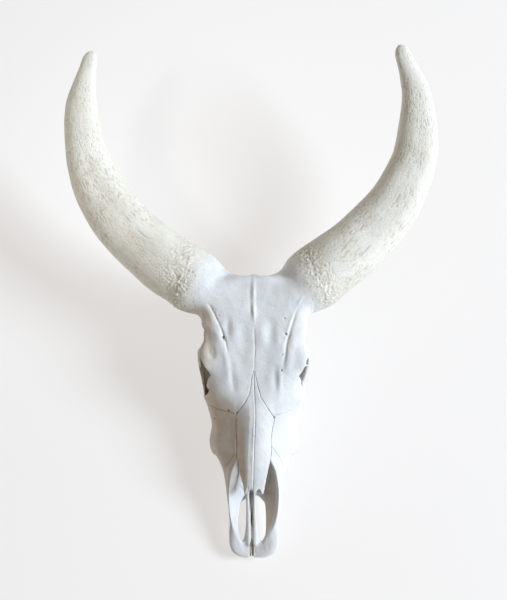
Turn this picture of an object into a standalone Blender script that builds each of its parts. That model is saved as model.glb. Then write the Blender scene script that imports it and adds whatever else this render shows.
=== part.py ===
"""Bleached skull of a long-horned cow without its lower jaw, lying on the floor on its cheek teeth.

The bones are described in the face frame, in millimetres: x to the right of the middle as seen from
above, ahead from the poll towards the nose, and up from the level of the forehead. The last step
tilts that frame by TILT, so that the teeth and the two paracondylar processes stand on the floor.
In the finished part +X is the right of the picture, +Y the horn tips and +Z up.
"""

import math

import bmesh
import bpy
from mathutils import Euler, Matrix, Vector

MM = 0.001
SIDES = (-1, 1)
SIDE_NAMES = {-1: "left", 1: "right"}

# How the skull lies: the face plane slopes down to the nose, and the floor passes this far under the poll.
TILT = math.radians(15)
FLOOR_UNDER_POLL = 211
REST_SHIFT = (0, 31)

# Neighbouring bones keep this gap.
BONE_GAP = 0.3
HALF_GAP = BONE_GAP / 2
SHARP_ANGLE = math.radians(50)

# Mesh fineness.
VOXEL = 3.2
SMOOTH_STEPS = 7
OPENED_TRIANGLES = 4700
CLOSED_TRIANGLES = 6000
HORN_RINGS = 34
HORN_RESOLUTION = 8
BAR_STEPS = 6
BAR_RESOLUTION = 4
BALL_SUBDIVISIONS = 4
WELD = 1e-5

# Horn cores: the axis of each, from its burr to its tip, and the shared radius law along it.
HORN_AXES = {
    1: [(112, 0, -46), (190, -60, -52), (251, -129, -58), (288, -206, -58), (296, -272, -52),
        (291, -332, -42), (270, -388, -30), (259, -414, -24)],
    -1: [(-114, 5, -46), (-174, -36, -51), (-239, -96, -57), (-284, -167, -60), (-306, -240, -56),
         (-311, -306, -47), (-299, -368, -33), (-288, -403, -25)],
}
HORN_RADIUS = 57
HORN_TAPER_START = 1.45
HORN_TAPER_END = 0.58
HORN_TIP_RADIUS = 4

# Superelliptic cross-sections: (ahead, half width, top, widest level, bottom, roundness above, below).
ROOF_AND_FACE = [
    (-4, 78, -6, -36, -84, 3.0, 2.2),
    (18, 86, -1, -34, -80, 4.0, 2.2),
    (55, 88, 1, -28, -68, 4.6, 2.2),
    (95, 90.5, 2, -22, -56, 4.8, 2.2),
    (116, 88, 3, -20, -50, 4.8, 2.2),
    (136, 94, 3, -19, -46, 4.6, 2.2),
    (150, 95, 2, -20, -48, 4.4, 2.2),
    (172, 81, 1, -26, -62, 3.8, 2.4),
    (190, 81, 0, -40, -96, 3.2, 2.8),
    (205, 87, -1, -54, -120, 2.6, 3.0),
    (217, 88, -1, -61, -126, 2.2, 3.0),
    (234, 81, -1, -68, -123, 1.95, 3.0),
    (255, 75.5, -1, -76, -119, 1.8, 3.0),
    (280, 74, -2, -80, -113, 1.7, 3.0),
    (304, 75, -3, -78, -107, 1.7, 3.0),
    (318, 70, -4, -73, -103, 1.75, 3.0),
    (332, 61.5, -5, -68, -99, 1.8, 3.0),
    (352, 53, -7, -62, -92, 1.9, 3.0),
    (372, 49, -9, -58, -84, 2.0, 3.0),
    (396, 46, -12, -56, -76, 2.0, 3.0),
    (423, 43.5, -20, -57, -70, 2.2, 3.0),
    (446, 42.5, -36, -56, -66, 2.4, 3.0),
    (468, 44, -45, -55, -64, 2.6, 2.6),
    (488, 42, -47, -54, -61, 2.4, 2.4),
    (500, 33, -48, -54, -60, 2.2, 2.2),
    (508, 20, -50, -54, -59, 2.2, 2.2),
]
BRAINCASE = [
    (4, 62, -18, -62, -128, 2.2, 2.0),
    (26, 70, -12, -66, -138, 2.0, 2.0),
    (60, 66, -10, -68, -134, 2.0, 2.0),
    (100, 56, -10, -64, -124, 2.0, 2.0),
    (140, 46, -10, -62, -118, 2.2, 2.2),
    (180, 44, -10, -62, -118, 2.4, 2.4),
    (215, 48, -10, -62, -120, 2.4, 2.4),
]
SECTION_POINTS = 40
LOFT_STEP = 6
# A lofted body closes with a smaller section just past each end.
LOFT_CAP_SCALE = 0.5
LOFT_CAP_LENGTH = 3

# Round bars of bone along the middle: name, points, radii.
SKULL_BASE = ("skull_base", [(0, 16, -140), (0, 60, -134), (0, 115, -122), (0, 190, -112)], [21, 20, 16, 14])

# Round bars found on each side; their x runs outwards.
PAIRED_BARS = [
    ("paracondylar", [(52, 24, -112), (53, 30, -150), (50, 38, -188), (49, 42, -206)], [20, 14, 9.5, 8]),
    ("arch", [(68, 48, -100), (80, 72, -104), (83, 100, -98), (90, 128, -88), (93, 152, -84),
              (90, 184, -86), (82, 218, -86), (72, 262, -90)], [12, 9, 7, 8, 9, 9, 10, 8]),
    ("gums", [(40, 352, -84), (46, 320, -96), (54, 270, -110), (57, 216, -122)], [9, 12, 14, 14]),
    ("wing", [(22, 212, -118), (20, 180, -124), (21, 145, -126), (22, 112, -124)], [8, 7, 6, 6]),
]

# Rounded masses found on each side: name, middle, half sizes across, along and up, turn about each axis.
PAIRED_BALLS = [
    ("mastoid", (60, 22, -86), (26, 22, 38), (0, 0, 0)),
    ("condyle", (27, 12, -136), (18, 19, 25), (0, 24, 0)),
    ("ear_bulb", (38, 62, -144), (15, 22, 27), (18, 0, 0)),
    ("ear_tube", (68, 48, -112), (16, 12, 12), (0, 0, 0)),
    ("jaw_joint", (64, 80, -110), (22, 13, 10), (0, 0, 0)),
    ("temple", (66, 44, -64), (22, 44, 34), (0, 0, 0)),
    ("tuber", (70, 302, -88), (10, 24, 12), (0, 0, 0)),
    ("brow", (84, 146, -18), (15, 24, 17), (0, 0, 0)),
]

# The stub of the frontal bone that carries each horn core runs through these and on into the core.
PEDICLE_POINTS = [(52, 40, -44), (82, 22, -45)]
PEDICLE_RADII = [44, 51, 57.5, 52]

# Rim of the eye socket: an ellipse about its middle, given by its two half axes.
SOCKET_MIDDLE = (86.5, 172, -50)
SOCKET_ACROSS = (-9, 33, 0)
SOCKET_UPWARD = (-9.5, 0, 32)
SOCKET_RIM_RADIUS = 7
SOCKET_RIM_POINTS = 24

# Cheek teeth from the front one back: (length along the row, width). Their row starts here.
TEETH = [(15, 17), (16, 19), (18, 20), (24, 23), (27, 24), (28, 23)]
ROW_FRONT = (41, 350)
ROW_BACK = (57, 222)
TOOTH_HEIGHT = 34
TOOTH_BEVEL = 3
TOOTH_SPACING = 1

# Plan outline of one nasal bone, outwards from the middle: (half width, ahead).
NASAL_OUTLINE = [
    (0, 188), (4, 190), (8, 213), (16, 232), (29, 245), (34, 258), (33, 280), (30.5, 305), (29.5, 328),
    (25, 352), (22, 370), (19, 384), (15, 391), (9, 384), (4, 388), (0, 384),
]
NASAL_DEPTH = 16

# Sutures that part the face, each a crosswise plane through two points in side view (ahead, up).
FACE_SUTURE = ((284, 60), (170, -170))
PREMAXILLA_SUTURE = ((316, -22), (396, -72))
# The second one slopes, so its gap is longer when measured straight ahead.
SLOPING_GAP = 0.45

# Plan outline of the open nose: (half width, ahead). It is cut from above down to the palate.
NOSE_OUTLINE = [(22, 318), (30, 329), (37, 347), (41, 361), (42.5, 379), (43, 397), (41, 414), (38, 430),
                (30, 444), (24, 460), (12, 470)]
NOSE_CUT_LEVELS = (-48, 12)

# Hollows, in the same form as the sections above: inside the nose, above the palate's roof, in the throat.
HOLLOWS = {
    "cut_nose": [
        (262, 20, -28, -56, -82, 2.2, 2.4),
        (296, 38, -20, -60, -86, 2.0, 2.4),
        (330, 42, -17, -60, -84, 2.0, 2.6),
        (360, 43, -18, -56, -77, 2.0, 2.8),
        (396, 42.5, -20, -54, -68, 2.0, 3.0),
        (423, 39, -24, -50, -61, 2.0, 3.0),
        (446, 30, -30, -46, -54, 2.0, 2.6),
        (460, 20, -34, -42, -49, 2.0, 2.4),
    ],
    "cut_palate": [
        (196, 34, -118, -124, -150, 2.4, 2.4),
        (250, 38, -110, -128, -150, 2.4, 2.4),
        (310, 32, -95, -114, -140, 2.4, 2.4),
        (356, 26, -86, -104, -120, 2.4, 2.4),
    ],
    "cut_throat": [
        (120, 12, -112, -128, -150, 2.2, 2.4),
        (160, 14, -102, -126, -150, 2.2, 2.4),
        (215, 15, -104, -118, -140, 2.2, 2.4),
    ],
}
SPINE_HOLE = ("cut_spine_hole", (0, 4, -116), (17, 26, 15))
SOCKET_HOLLOW = ("cut_socket", (84, 170, -50), (44, 29, 29), (0, 12, 12))

# Right halves of the slit and the notch in the middle of the muzzle's plate, and their levels.
MUZZLE_SLIT = [(2, 398), (2, 434)]
MUZZLE_NOTCH = [(0, 478), (4, 490), (4, 530)]
MUZZLE_CUT_LEVELS = (-90, -30)

# Long oval hole on each side of the middle of the palate: its middle, then its half width and length.
FISSURE_MIDDLE = (18.5, 440)
FISSURE_HALF = (9, 37)
FISSURE_POINTS = 20
FISSURE_LEVELS = (-90, -40)

# Past every edge of the skull, for the blocks and slabs that cut it.
FAR_BEHIND = -60
FAR_AHEAD = 540
FAR_ABOVE = 60
FAR_BELOW = -260
FAR_ASIDE = 200
BURR_CUT_REACH = 260
BURR_CUT_WIDTH = 182


def in_face_frame(x, ahead, up):
    """A point of the face frame in metres, before the skull is tilted."""
    return Vector((x, -ahead, up)) * MM


def interpolate(stations, ahead):
    """The cross-section at a place between the given ones, blended smoothly."""
    places = [row[0] for row in stations]
    last = len(places) - 2
    i = min(max(sum(place <= ahead for place in places) - 1, 0), last)
    span = places[i + 1] - places[i]
    t = min(max((ahead - places[i]) / span, 0), 1)

    def slope(j, k):
        low, high = max(j - 1, 0), min(j + 1, last + 1)
        return (stations[high][k] - stations[low][k]) / (places[high] - places[low])

    row = []
    for k in range(1, len(stations[0])):
        start, end = stations[i][k], stations[i + 1][k]
        row.append(
            (2 * t**3 - 3 * t**2 + 1) * start
            + (t**3 - 2 * t**2 + t) * span * slope(i, k)
            + (3 * t**2 - 2 * t**3) * end
            + (t**3 - t**2) * span * slope(i + 1, k)
        )
    return row


def section_point(section, turn):
    """The point of a superelliptic section at an angle measured from +x."""
    width, top, waist, bottom, round_top, round_bottom = section
    above = math.sin(turn) >= 0
    power = 2 / (round_top if above else round_bottom)
    height = top - waist if above else waist - bottom
    x = math.copysign(abs(math.cos(turn)) ** power, math.cos(turn)) * width
    return x, waist + math.copysign(abs(math.sin(turn)) ** power, math.sin(turn)) * height


def object_of(name, mesh, collection):
    """A mesh or curve placed in a collection as a new object."""
    made = bpy.data.objects.new(name, mesh)
    collection.objects.link(made)
    return made


def hide(helper):
    """Marks an object as a helper that only shapes others."""
    helper.hide_render = True
    helper.display_type = "WIRE"
    return helper


def mesh_of(shape, name):
    """A bmesh turned into a mesh, with its faces pointing out."""
    bmesh.ops.recalc_face_normals(shape, faces=shape.faces)
    mesh = bpy.data.meshes.new(name)
    shape.to_mesh(mesh)
    shape.free()
    return mesh


def loft(name, stations, collection):
    """A closed body through superelliptic sections, which ends in a smaller section at each end."""
    shape = bmesh.new()
    first, last = stations[0][0], stations[-1][0]
    steps = round((last - first) / LOFT_STEP)
    places = [first + (last - first) * i / steps for i in range(steps + 1)]
    rings = []
    caps = [(first - LOFT_CAP_LENGTH, LOFT_CAP_SCALE), (last + LOFT_CAP_LENGTH, LOFT_CAP_SCALE)]
    for place, scale in [caps[0], *((p, 1) for p in places), caps[1]]:
        section = interpolate(stations, place)
        waist = section[2]
        ring = []
        for i in range(SECTION_POINTS):
            x, up = section_point(section, 2 * math.pi * (i + 0.5) / SECTION_POINTS)
            corner = in_face_frame(x * scale, place, waist + (up - waist) * scale)
            ring.append(shape.verts.new(corner))
        rings.append(ring)
    for before, after in zip(rings, rings[1:]):
        for i in range(SECTION_POINTS):
            j = (i + 1) % SECTION_POINTS
            shape.faces.new((before[i], before[j], after[j], after[i]))
    shape.faces.new(rings[0])
    shape.faces.new(rings[-1])
    return hide(object_of(name, mesh_of(shape, name), collection))


def ball(name, at, size, collection, turn=(0, 0, 0)):
    """An ellipsoid with the given half sizes across, along and up, turned by degrees."""
    shape = bmesh.new()
    across, along, high = size
    spin = Euler([math.radians(angle) for angle in turn]).to_matrix().to_4x4()
    place = Matrix.Translation(in_face_frame(*at)) @ spin @ Matrix.Diagonal(
        (across * MM, along * MM, high * MM, 1))
    bmesh.ops.create_icosphere(shape, subdivisions=BALL_SUBDIVISIONS, radius=1, matrix=place)
    return hide(object_of(name, mesh_of(shape, name), collection))


def through(points, count):
    """Evenly numbered points on a smooth curve through the given ones."""
    points = [Vector(point) for point in points]
    ends = [points[0] * 2 - points[1], *points, points[-1] * 2 - points[-2]]
    found = []
    for i in range(count):
        s = i / (count - 1) * (len(points) - 1)
        k = min(int(s), len(points) - 2)
        t = s - k
        a, b, c, d = ends[k : k + 4]
        found.append(0.5 * (2 * b + (c - a) * t + (2 * a - 5 * b + 4 * c - d) * t**2
                            + (3 * b - a - 3 * c + d) * t**3))
    return found


def evaluated_mesh(source, name):
    """A copy of an object's mesh with all its modifiers applied."""
    graph = bpy.context.evaluated_depsgraph_get()
    mesh = bpy.data.meshes.new_from_object(source.evaluated_get(graph))
    mesh.name = name
    return mesh


def closed_shape(curve, collection):
    """The solid that a curve stands for, with its caps welded on, as a bmesh."""
    guide = object_of(curve.name, curve, collection)
    mesh = evaluated_mesh(guide, curve.name)
    bpy.data.objects.remove(guide)
    shape = bmesh.new()
    shape.from_mesh(mesh)
    bpy.data.meshes.remove(mesh)
    bmesh.ops.remove_doubles(shape, verts=shape.verts, dist=WELD)
    return shape


def bar(name, points, radii, collection, resolution=BAR_RESOLUTION):
    """A tapering round bar along a poly curve, as a closed mesh."""
    curve = bpy.data.curves.new(name + "_curve", "CURVE")
    curve.dimensions = "3D"
    curve.bevel_depth = MM
    curve.bevel_resolution = resolution
    curve.use_fill_caps = True
    spline = curve.splines.new("POLY")
    spline.points.add(len(points) - 1)
    for point, place, radius in zip(spline.points, points, radii):
        point.co = (*in_face_frame(*place), 1)
        point.radius = radius
    return hide(object_of(name, mesh_of(closed_shape(curve, collection), name), collection))


def smooth_bar(name, points, radii, collection, resolution=BAR_RESOLUTION):
    """A bar bent smoothly through a few points, with its radius blended between them."""
    count = BAR_STEPS * (len(points) - 1) + 1
    spread = [i / (count - 1) * (len(radii) - 1) for i in range(count)]
    blended = []
    for s in spread:
        k = min(int(s), len(radii) - 2)
        blended.append(radii[k] + (radii[k + 1] - radii[k]) * (s - k))
    return bar(name, through(points, count), blended, collection, resolution)


def prism(name, outline, low, high, collection):
    """A flat outline in the face plane, filled and drawn out between two levels."""
    curve = bpy.data.curves.new(name + "_curve", "CURVE")
    curve.dimensions = "2D"
    curve.fill_mode = "BOTH"
    curve.extrude = (high - low) / 2 * MM
    spline = curve.splines.new("POLY")
    spline.points.add(len(outline) - 1)
    for point, (x, ahead) in zip(spline.points, outline):
        point.co = (x * MM, -ahead * MM, 0, 1)
    spline.use_cyclic_u = True
    shape = closed_shape(curve, collection)
    bmesh.ops.translate(shape, verts=shape.verts, vec=(0, 0, (high + low) / 2 * MM))
    return hide(object_of(name, mesh_of(shape, name), collection))


def block(name, low, high, collection, tilt=0, pivot=(0, 0, 0)):
    """A box between two corners of the face frame, tilted about a crosswise line through pivot."""
    shape = bmesh.new()
    corner_a, corner_b = in_face_frame(*low), in_face_frame(*high)
    middle = (corner_a + corner_b) / 2
    size = [abs(b - a) for a, b in zip(corner_a, corner_b)]
    hinge = Matrix.Translation(in_face_frame(*pivot))
    place = hinge @ Matrix.Rotation(tilt, 4, "X") @ hinge.inverted() @ Matrix.Translation(middle)
    bmesh.ops.create_cube(shape, size=1, matrix=place @ Matrix.Diagonal((*size, 1)))
    return hide(object_of(name, mesh_of(shape, name), collection))


def join_meshes(sources, name, collection):
    """One object that holds the meshes of all the sources, which may pass through each other."""
    shape = bmesh.new()
    for source in sources:
        shape.from_mesh(source.data)
    mesh = bpy.data.meshes.new(name)
    shape.to_mesh(mesh)
    shape.free()
    return hide(object_of(name, mesh, collection))


def boolean(target, cutter, operation):
    """Adds a Boolean; the exact solver leaves open edges on bone this fine, so it isn't used."""
    modifier = target.modifiers.new(f"{operation.lower()} {cutter.name}", "BOOLEAN")
    modifier.operation = operation
    modifier.solver = "MANIFOLD"
    modifier.object = cutter


def sided(points, side):
    """The same points with their x outwards on the given side."""
    return [(side * x, ahead, up) for x, ahead, up in points]


def pedicle(side, guides):
    """The stub of the frontal bone that carries a horn core."""
    points = sided(PEDICLE_POINTS, side) + HORN_AXES[side][:2]
    return smooth_bar(f"pedicle_{side}", points, PEDICLE_RADII, guides, HORN_RESOLUTION)


def socket_rim(side, guides):
    """The ring of bone round one eye socket."""
    middle, across, upward = (Vector(v) for v in sided([SOCKET_MIDDLE, SOCKET_ACROSS, SOCKET_UPWARD], side))
    rim = []
    for i in range(SOCKET_RIM_POINTS + 1):
        turn = 2 * math.pi * i / SOCKET_RIM_POINTS
        rim.append(middle + across * math.cos(turn) + upward * math.sin(turn))
    return bar(f"socket_rim_{side}", rim, [SOCKET_RIM_RADIUS] * len(rim), guides)


def masses(guides):
    """Every mass of bone that the skull is fused from."""
    made = [
        loft("roof_and_face", ROOF_AND_FACE, guides),
        loft("braincase", BRAINCASE, guides),
        smooth_bar(*SKULL_BASE, guides),
    ]
    for side in SIDES:
        made += [pedicle(side, guides), socket_rim(side, guides)]
        for name, points, radii in PAIRED_BARS:
            made.append(smooth_bar(f"{name}_{side}", sided(points, side), radii, guides))
        for name, (x, ahead, up), size, (pitch, roll, yaw) in PAIRED_BALLS:
            turn = (pitch, side * roll, side * yaw)
            made.append(ball(f"{name}_{side}", (side * x, ahead, up), size, guides, turn))
    return made


def fused_bone(guides):
    """All bone but the horn cores and teeth in one smooth closed mesh, before any opening is cut."""
    whole = join_meshes(masses(guides), "fused_bone", guides)
    remesh = whole.modifiers.new("fuse", "REMESH")
    remesh.mode = "VOXEL"
    remesh.voxel_size = VOXEL * MM
    smooth = whole.modifiers.new("soften", "SMOOTH")
    smooth.iterations = SMOOTH_STEPS
    return whole


def mirrored(half):
    """A closed outline from the points of its right half."""
    return half + [(-x, ahead) for x, ahead in reversed(half) if x > 0]


def fissure(side):
    """A long oval hole beside the middle of the palate."""
    outline = []
    for i in range(FISSURE_POINTS):
        turn = 2 * math.pi * i / FISSURE_POINTS
        outline.append((side * (FISSURE_MIDDLE[0] + FISSURE_HALF[0] * math.cos(turn)),
                        FISSURE_MIDDLE[1] + FISSURE_HALF[1] * math.sin(turn)))
    return outline


def openings(cutters):
    """The cutters of the sockets, the nose, the palate and the fissures."""
    made = [loft(name, stations, cutters) for name, stations in HOLLOWS.items()]
    made += [
        prism("cut_nose_top", mirrored(NOSE_OUTLINE), *NOSE_CUT_LEVELS, cutters),
        ball(*SPINE_HOLE, cutters),
        prism("cut_muzzle_slit", mirrored(MUZZLE_SLIT), *MUZZLE_CUT_LEVELS, cutters),
        prism("cut_muzzle_notch", mirrored(MUZZLE_NOTCH), *MUZZLE_CUT_LEVELS, cutters),
    ]
    name, (x, ahead, up), size, (pitch, roll, yaw) = SOCKET_HOLLOW
    for side in SIDES:
        turn = (pitch, side * roll, side * yaw)
        made += [
            ball(f"{name}_{side}", (side * x, ahead, up), size, cutters, turn),
            prism(f"cut_fissure_{side}", fissure(side), *FISSURE_LEVELS, cutters),
        ]
    return made


def tooth_row(side, guides):
    """The cheek teeth of one side: bevelled blocks whose worn faces lie on the floor."""
    teeth = []
    start, end = Vector(ROW_FRONT), Vector(ROW_BACK)
    row_length = sum(length for length, _ in TEETH)
    used = 0
    for number, (length, width) in enumerate(TEETH):
        x, ahead = start.lerp(end, (used + length / 2) / row_length)
        used += length
        floor = math.tan(TILT) * ahead - FLOOR_UNDER_POLL
        half_width, half_length = width / 2, (length - TOOTH_SPACING) / 2
        tooth = block(f"tooth_{number}_{side}",
                      (side * x - half_width, ahead - half_length, floor),
                      (side * x + half_width, ahead + half_length, floor + TOOTH_HEIGHT),
                      guides, -TILT, (side * x, ahead, floor))
        bevel = tooth.modifiers.new("wear", "BEVEL")
        bevel.width = TOOTH_BEVEL * MM
        bevel.segments = 1
        teeth.append(tooth)
    return teeth


def bone_material(name, colour, roughness):
    """A dry, matt surface of one colour."""
    material = bpy.data.materials.new(name)
    material.use_nodes = True
    shader = material.node_tree.nodes["Principled BSDF"]
    shader.inputs["Base Color"].default_value = (*colour, 1)
    shader.inputs["Roughness"].default_value = roughness
    shader.inputs["Metallic"].default_value = 0
    material.diffuse_color = (*colour, 1)
    return material


def horn_core(side, collection, cutters):
    """One horn core, thick at its burr, thin only near its tip, cut square at the burr."""
    axis = through(HORN_AXES[side], HORN_RINGS)
    travelled = [0]
    for a, b in zip(axis, axis[1:]):
        travelled.append(travelled[-1] + (b - a).length)
    radii = []
    for distance in travelled:
        t = distance / travelled[-1]
        radii.append(max(HORN_RADIUS * (1 - t**HORN_TAPER_START) ** HORN_TAPER_END, HORN_TIP_RADIUS))
    start = axis[0] * 2 - axis[1]
    name = f"horn_core_{SIDE_NAMES[side]}"
    core = bar(name, [start, *axis], [radii[0], *radii], collection, HORN_RESOLUTION)
    core.hide_render = False
    core.display_type = "TEXTURED"
    boolean(core, burr_plane(side, -1, cutters), "DIFFERENCE")
    return core


def burr_plane(side, outward, cutters):
    """A block whose face crosses the horn at its burr.

    It covers the horn's side of that plane if outward is 1, and the skull's side if it is -1.
    """
    base, onward = (in_face_frame(*point) for point in HORN_AXES[side][:2])
    along = (onward - base).normalized()
    reach = BURR_CUT_REACH * MM
    width = BURR_CUT_WIDTH * MM
    shape = bmesh.new()
    turn = along.to_track_quat("Z", "Y").to_matrix().to_4x4()
    middle = base + along * outward * (reach / 2 - HALF_GAP * MM)
    size = Matrix.Diagonal((width, width, reach, 1))
    bmesh.ops.create_cube(shape, size=1, matrix=Matrix.Translation(middle) @ turn @ size)
    name = f"burr_{SIDE_NAMES[side]}_{'out' if outward > 0 else 'in'}"
    return hide(object_of(name, mesh_of(shape, name), cutters))


def as_part(name, mesh, collection, material):
    """A visible part that carries its own material and smooth shading."""
    made = object_of(name, mesh, collection)
    finish(made, material)
    return made


def finish(part, material):
    """Gives a part its material, and smooth shading with its edges kept."""
    part.data.materials.clear()
    part.data.materials.append(material)
    part.data.shade_smooth()
    part.data.set_sharp_from_angle(angle=SHARP_ANGLE)


def side_slab(name, outline, low_x, high_x, collection):
    """A region drawn in side view, an outline of (ahead, up) points, between two crosswise places."""
    shape = bmesh.new()
    rings = []
    for x in (low_x, high_x):
        rings.append([shape.verts.new(in_face_frame(x, *point)) for point in outline])
    for i in range(len(outline)):
        j = (i + 1) % len(outline)
        shape.faces.new((rings[0][i], rings[0][j], rings[1][j], rings[1][i]))
    shape.faces.new(rings[0])
    shape.faces.new(rings[1])
    return hide(object_of(name, mesh_of(shape, name), collection))


def one_side(side):
    """The crosswise limits of the left or right half, clear of the middle by half a gap."""
    return sorted((side * HALF_GAP, side * FAR_ASIDE))


def nasal_prism(name, side, inset, floor, collection):
    """The space of one nasal bone, drawn in from its sutures by the inset."""
    outline = []
    for x, ahead in NASAL_OUTLINE:
        from_middle = x - inset if x else inset - HALF_GAP
        outline.append((side * from_middle, ahead + inset))
    return prism(name, outline, floor, FAR_ABOVE, collection)


def decimate(source, triangles):
    """Adds the modifier that thins an object's mesh to about this many triangles."""
    graph = bpy.context.evaluated_depsgraph_get()
    evaluated = source.evaluated_get(graph)
    mesh = evaluated.to_mesh()
    mesh.calc_loop_triangles()
    found = len(mesh.loop_triangles)
    evaluated.to_mesh_clear()
    modifier = source.modifiers.new("fewer faces", "DECIMATE")
    modifier.ratio = min(triangles / found, 1)


def cranium(source, skull, cutters, material):
    """Everything behind the face: forehead, brain case, sockets and the stubs that carry the horns."""
    part = as_part("cranium", source.copy(), skull, material)
    top, bottom = ((ahead - HALF_GAP, up) for ahead, up in FACE_SUTURE)
    outline = [(FAR_BEHIND, FAR_ABOVE), top, bottom, (bottom[0], FAR_BELOW), (FAR_BEHIND, FAR_BELOW)]
    region = side_slab("behind_the_face", outline, -FAR_ASIDE, FAR_ASIDE, cutters)
    boolean(part, region, "INTERSECT")
    for side in SIDES:
        boolean(part, burr_plane(side, 1, cutters), "DIFFERENCE")
    ground = block("ground", (-FAR_ASIDE, FAR_BEHIND, -FLOOR_UNDER_POLL - FAR_ABOVE),
                   (FAR_ASIDE, FAR_AHEAD, -FLOOR_UNDER_POLL), cutters, -TILT, (0, 0, -FLOOR_UNDER_POLL))
    boolean(part, ground, "DIFFERENCE")
    return part


def maxilla(side, source, skull, guides, cutters, material):
    """One upper jaw bone with its six cheek teeth."""
    name = SIDE_NAMES[side]
    part = as_part(f"maxilla_{name}", source.copy(), skull, material)
    high, low = ((ahead + HALF_GAP, up) for ahead, up in FACE_SUTURE)
    top, bottom = PREMAXILLA_SUTURE
    outline = [high, (top[0], FAR_ABOVE), top, bottom, (bottom[0], low[1]), low]
    boolean(part, side_slab(f"jaw_region_{name}", outline, *one_side(side), cutters), "INTERSECT")
    for tooth in tooth_row(side, guides):
        boolean(part, tooth, "UNION")
    return part


def premaxilla(side, source, skull, cutters, material):
    """One bone of the front of the muzzle, a thin wall beside the nose that ends in a flat plate."""
    name = SIDE_NAMES[side]
    part = as_part(f"premaxilla_{name}", source.copy(), skull, material)
    top, bottom = ((ahead + SLOPING_GAP, up) for ahead, up in PREMAXILLA_SUTURE)
    outline = [(top[0], FAR_ABOVE), (FAR_AHEAD, FAR_ABOVE), (FAR_AHEAD, FAR_BELOW), (bottom[0], FAR_BELOW),
               bottom, top]
    boolean(part, side_slab(f"muzzle_region_{name}", outline, *one_side(side), cutters), "INTERSECT")
    return part


def nasal(side, source, skull, cutters, material):
    """One nasal bone, cut from the closed skull by its sutures."""
    name = SIDE_NAMES[side]
    part = as_part(f"nasal_{name}", source.copy(), skull, material)
    region = nasal_prism(f"nasal_region_{name}", side, BONE_GAP, -NASAL_DEPTH + BONE_GAP, cutters)
    boolean(part, region, "INTERSECT")
    return part


def lay_on_floor(everything):
    """Parents all objects to an empty that holds the skull's tilt and its place on the floor."""
    frame = bpy.data.objects.new("rest_frame", None)
    bpy.context.scene.collection.objects.link(frame)
    frame.rotation_euler = (TILT, 0, 0)
    frame.location = Vector((*REST_SHIFT, FLOOR_UNDER_POLL * math.cos(TILT))) * MM
    for child in everything:
        child.parent = frame


def main():
    for old in list(bpy.data.objects):
        bpy.data.objects.remove(old)
    skull = bpy.data.collections.new("cow_skull")
    guides = bpy.data.collections.new("guides")
    cutters = bpy.data.collections.new("cutters")
    for collection in (skull, guides, cutters):
        bpy.context.scene.collection.children.link(collection)
    bone = bone_material("bleached_bone", (0.80, 0.80, 0.77), 0.6)
    ivory = bone_material("horn_core_bone", (0.84, 0.83, 0.76), 0.7)

    fused = evaluated_mesh(fused_bone(guides), "fused")
    closed = hide(object_of("closed_skull", fused.copy(), guides))
    decimate(closed, CLOSED_TRIANGLES)
    opened = hide(object_of("opened_skull", fused, guides))
    for cutter in openings(cutters):
        boolean(opened, cutter, "DIFFERENCE")
    decimate(opened, OPENED_TRIANGLES)
    for side in SIDES:
        bed = nasal_prism(f"nasal_bed_{SIDE_NAMES[side]}", side, 0, -NASAL_DEPTH, cutters)
        boolean(opened, bed, "DIFFERENCE")
    closed_mesh = evaluated_mesh(closed, "closed")
    opened_mesh = evaluated_mesh(opened, "opened")

    cranium(opened_mesh, skull, cutters, bone)
    for side in SIDES:
        maxilla(side, opened_mesh, skull, guides, cutters, bone)
        premaxilla(side, opened_mesh, skull, cutters, bone)
        nasal(side, closed_mesh, skull, cutters, bone)
        finish(horn_core(side, skull, cutters), ivory)
    lay_on_floor([*skull.objects, *guides.objects, *cutters.objects])


main()
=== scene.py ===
"""Looks of a bleached, long-horned cow skull that lies on its cheek teeth, without its lower jaw.

The bone is modelled as a signed distance, sampled on a grid: rounded masses are blended together,
the sockets, the nose and the palate are hollowed out, ridges, grooves and pits are worked into it, and
sutures part it into its bones. Each bone is then meshed. The teeth are meshed in the same way, and the
horn cores are swept surfaces.

All shapes are given in the face frame, in millimetres: x to the right of the middle, ahead from the
poll towards the nose, and up from the level of the forehead. It is tilted onto the floor at the end.
"""

import math

import bpy
import numpy as np
import openvdb
from mathutils import Euler, Matrix, Vector


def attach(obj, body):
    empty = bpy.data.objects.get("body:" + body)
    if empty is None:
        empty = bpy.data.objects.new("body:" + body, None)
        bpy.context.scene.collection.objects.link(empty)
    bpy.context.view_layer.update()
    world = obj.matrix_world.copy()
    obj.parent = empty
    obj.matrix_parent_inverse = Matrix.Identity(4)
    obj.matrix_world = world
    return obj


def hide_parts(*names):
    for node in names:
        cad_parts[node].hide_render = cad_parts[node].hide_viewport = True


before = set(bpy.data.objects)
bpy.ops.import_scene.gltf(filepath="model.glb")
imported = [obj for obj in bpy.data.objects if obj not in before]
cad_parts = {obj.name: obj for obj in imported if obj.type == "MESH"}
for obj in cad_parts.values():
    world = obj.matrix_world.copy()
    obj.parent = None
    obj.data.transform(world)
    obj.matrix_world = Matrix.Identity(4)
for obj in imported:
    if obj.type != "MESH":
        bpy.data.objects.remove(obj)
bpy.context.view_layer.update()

MM = 0.001
SIDES = (-1, 1)
SIDE_NAMES = {-1: "left", 1: "right"}

# How the skull lies, as in the solids.
TILT = math.radians(15)
FLOOR_UNDER_POLL = 211
REST_SHIFT = (0, 31)

# Spacing of the grid, and the share of its full count of points that a horn core gets.
STEP = 1.15
FINE = 1.0
# The distances that meshing needs, that blending needs, and that an empty grid starts from.
BAND = 3 * STEP
REACH = 9.0
FAR = 40.0


# ---------------------------------------------------------------- curves and noise

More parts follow.
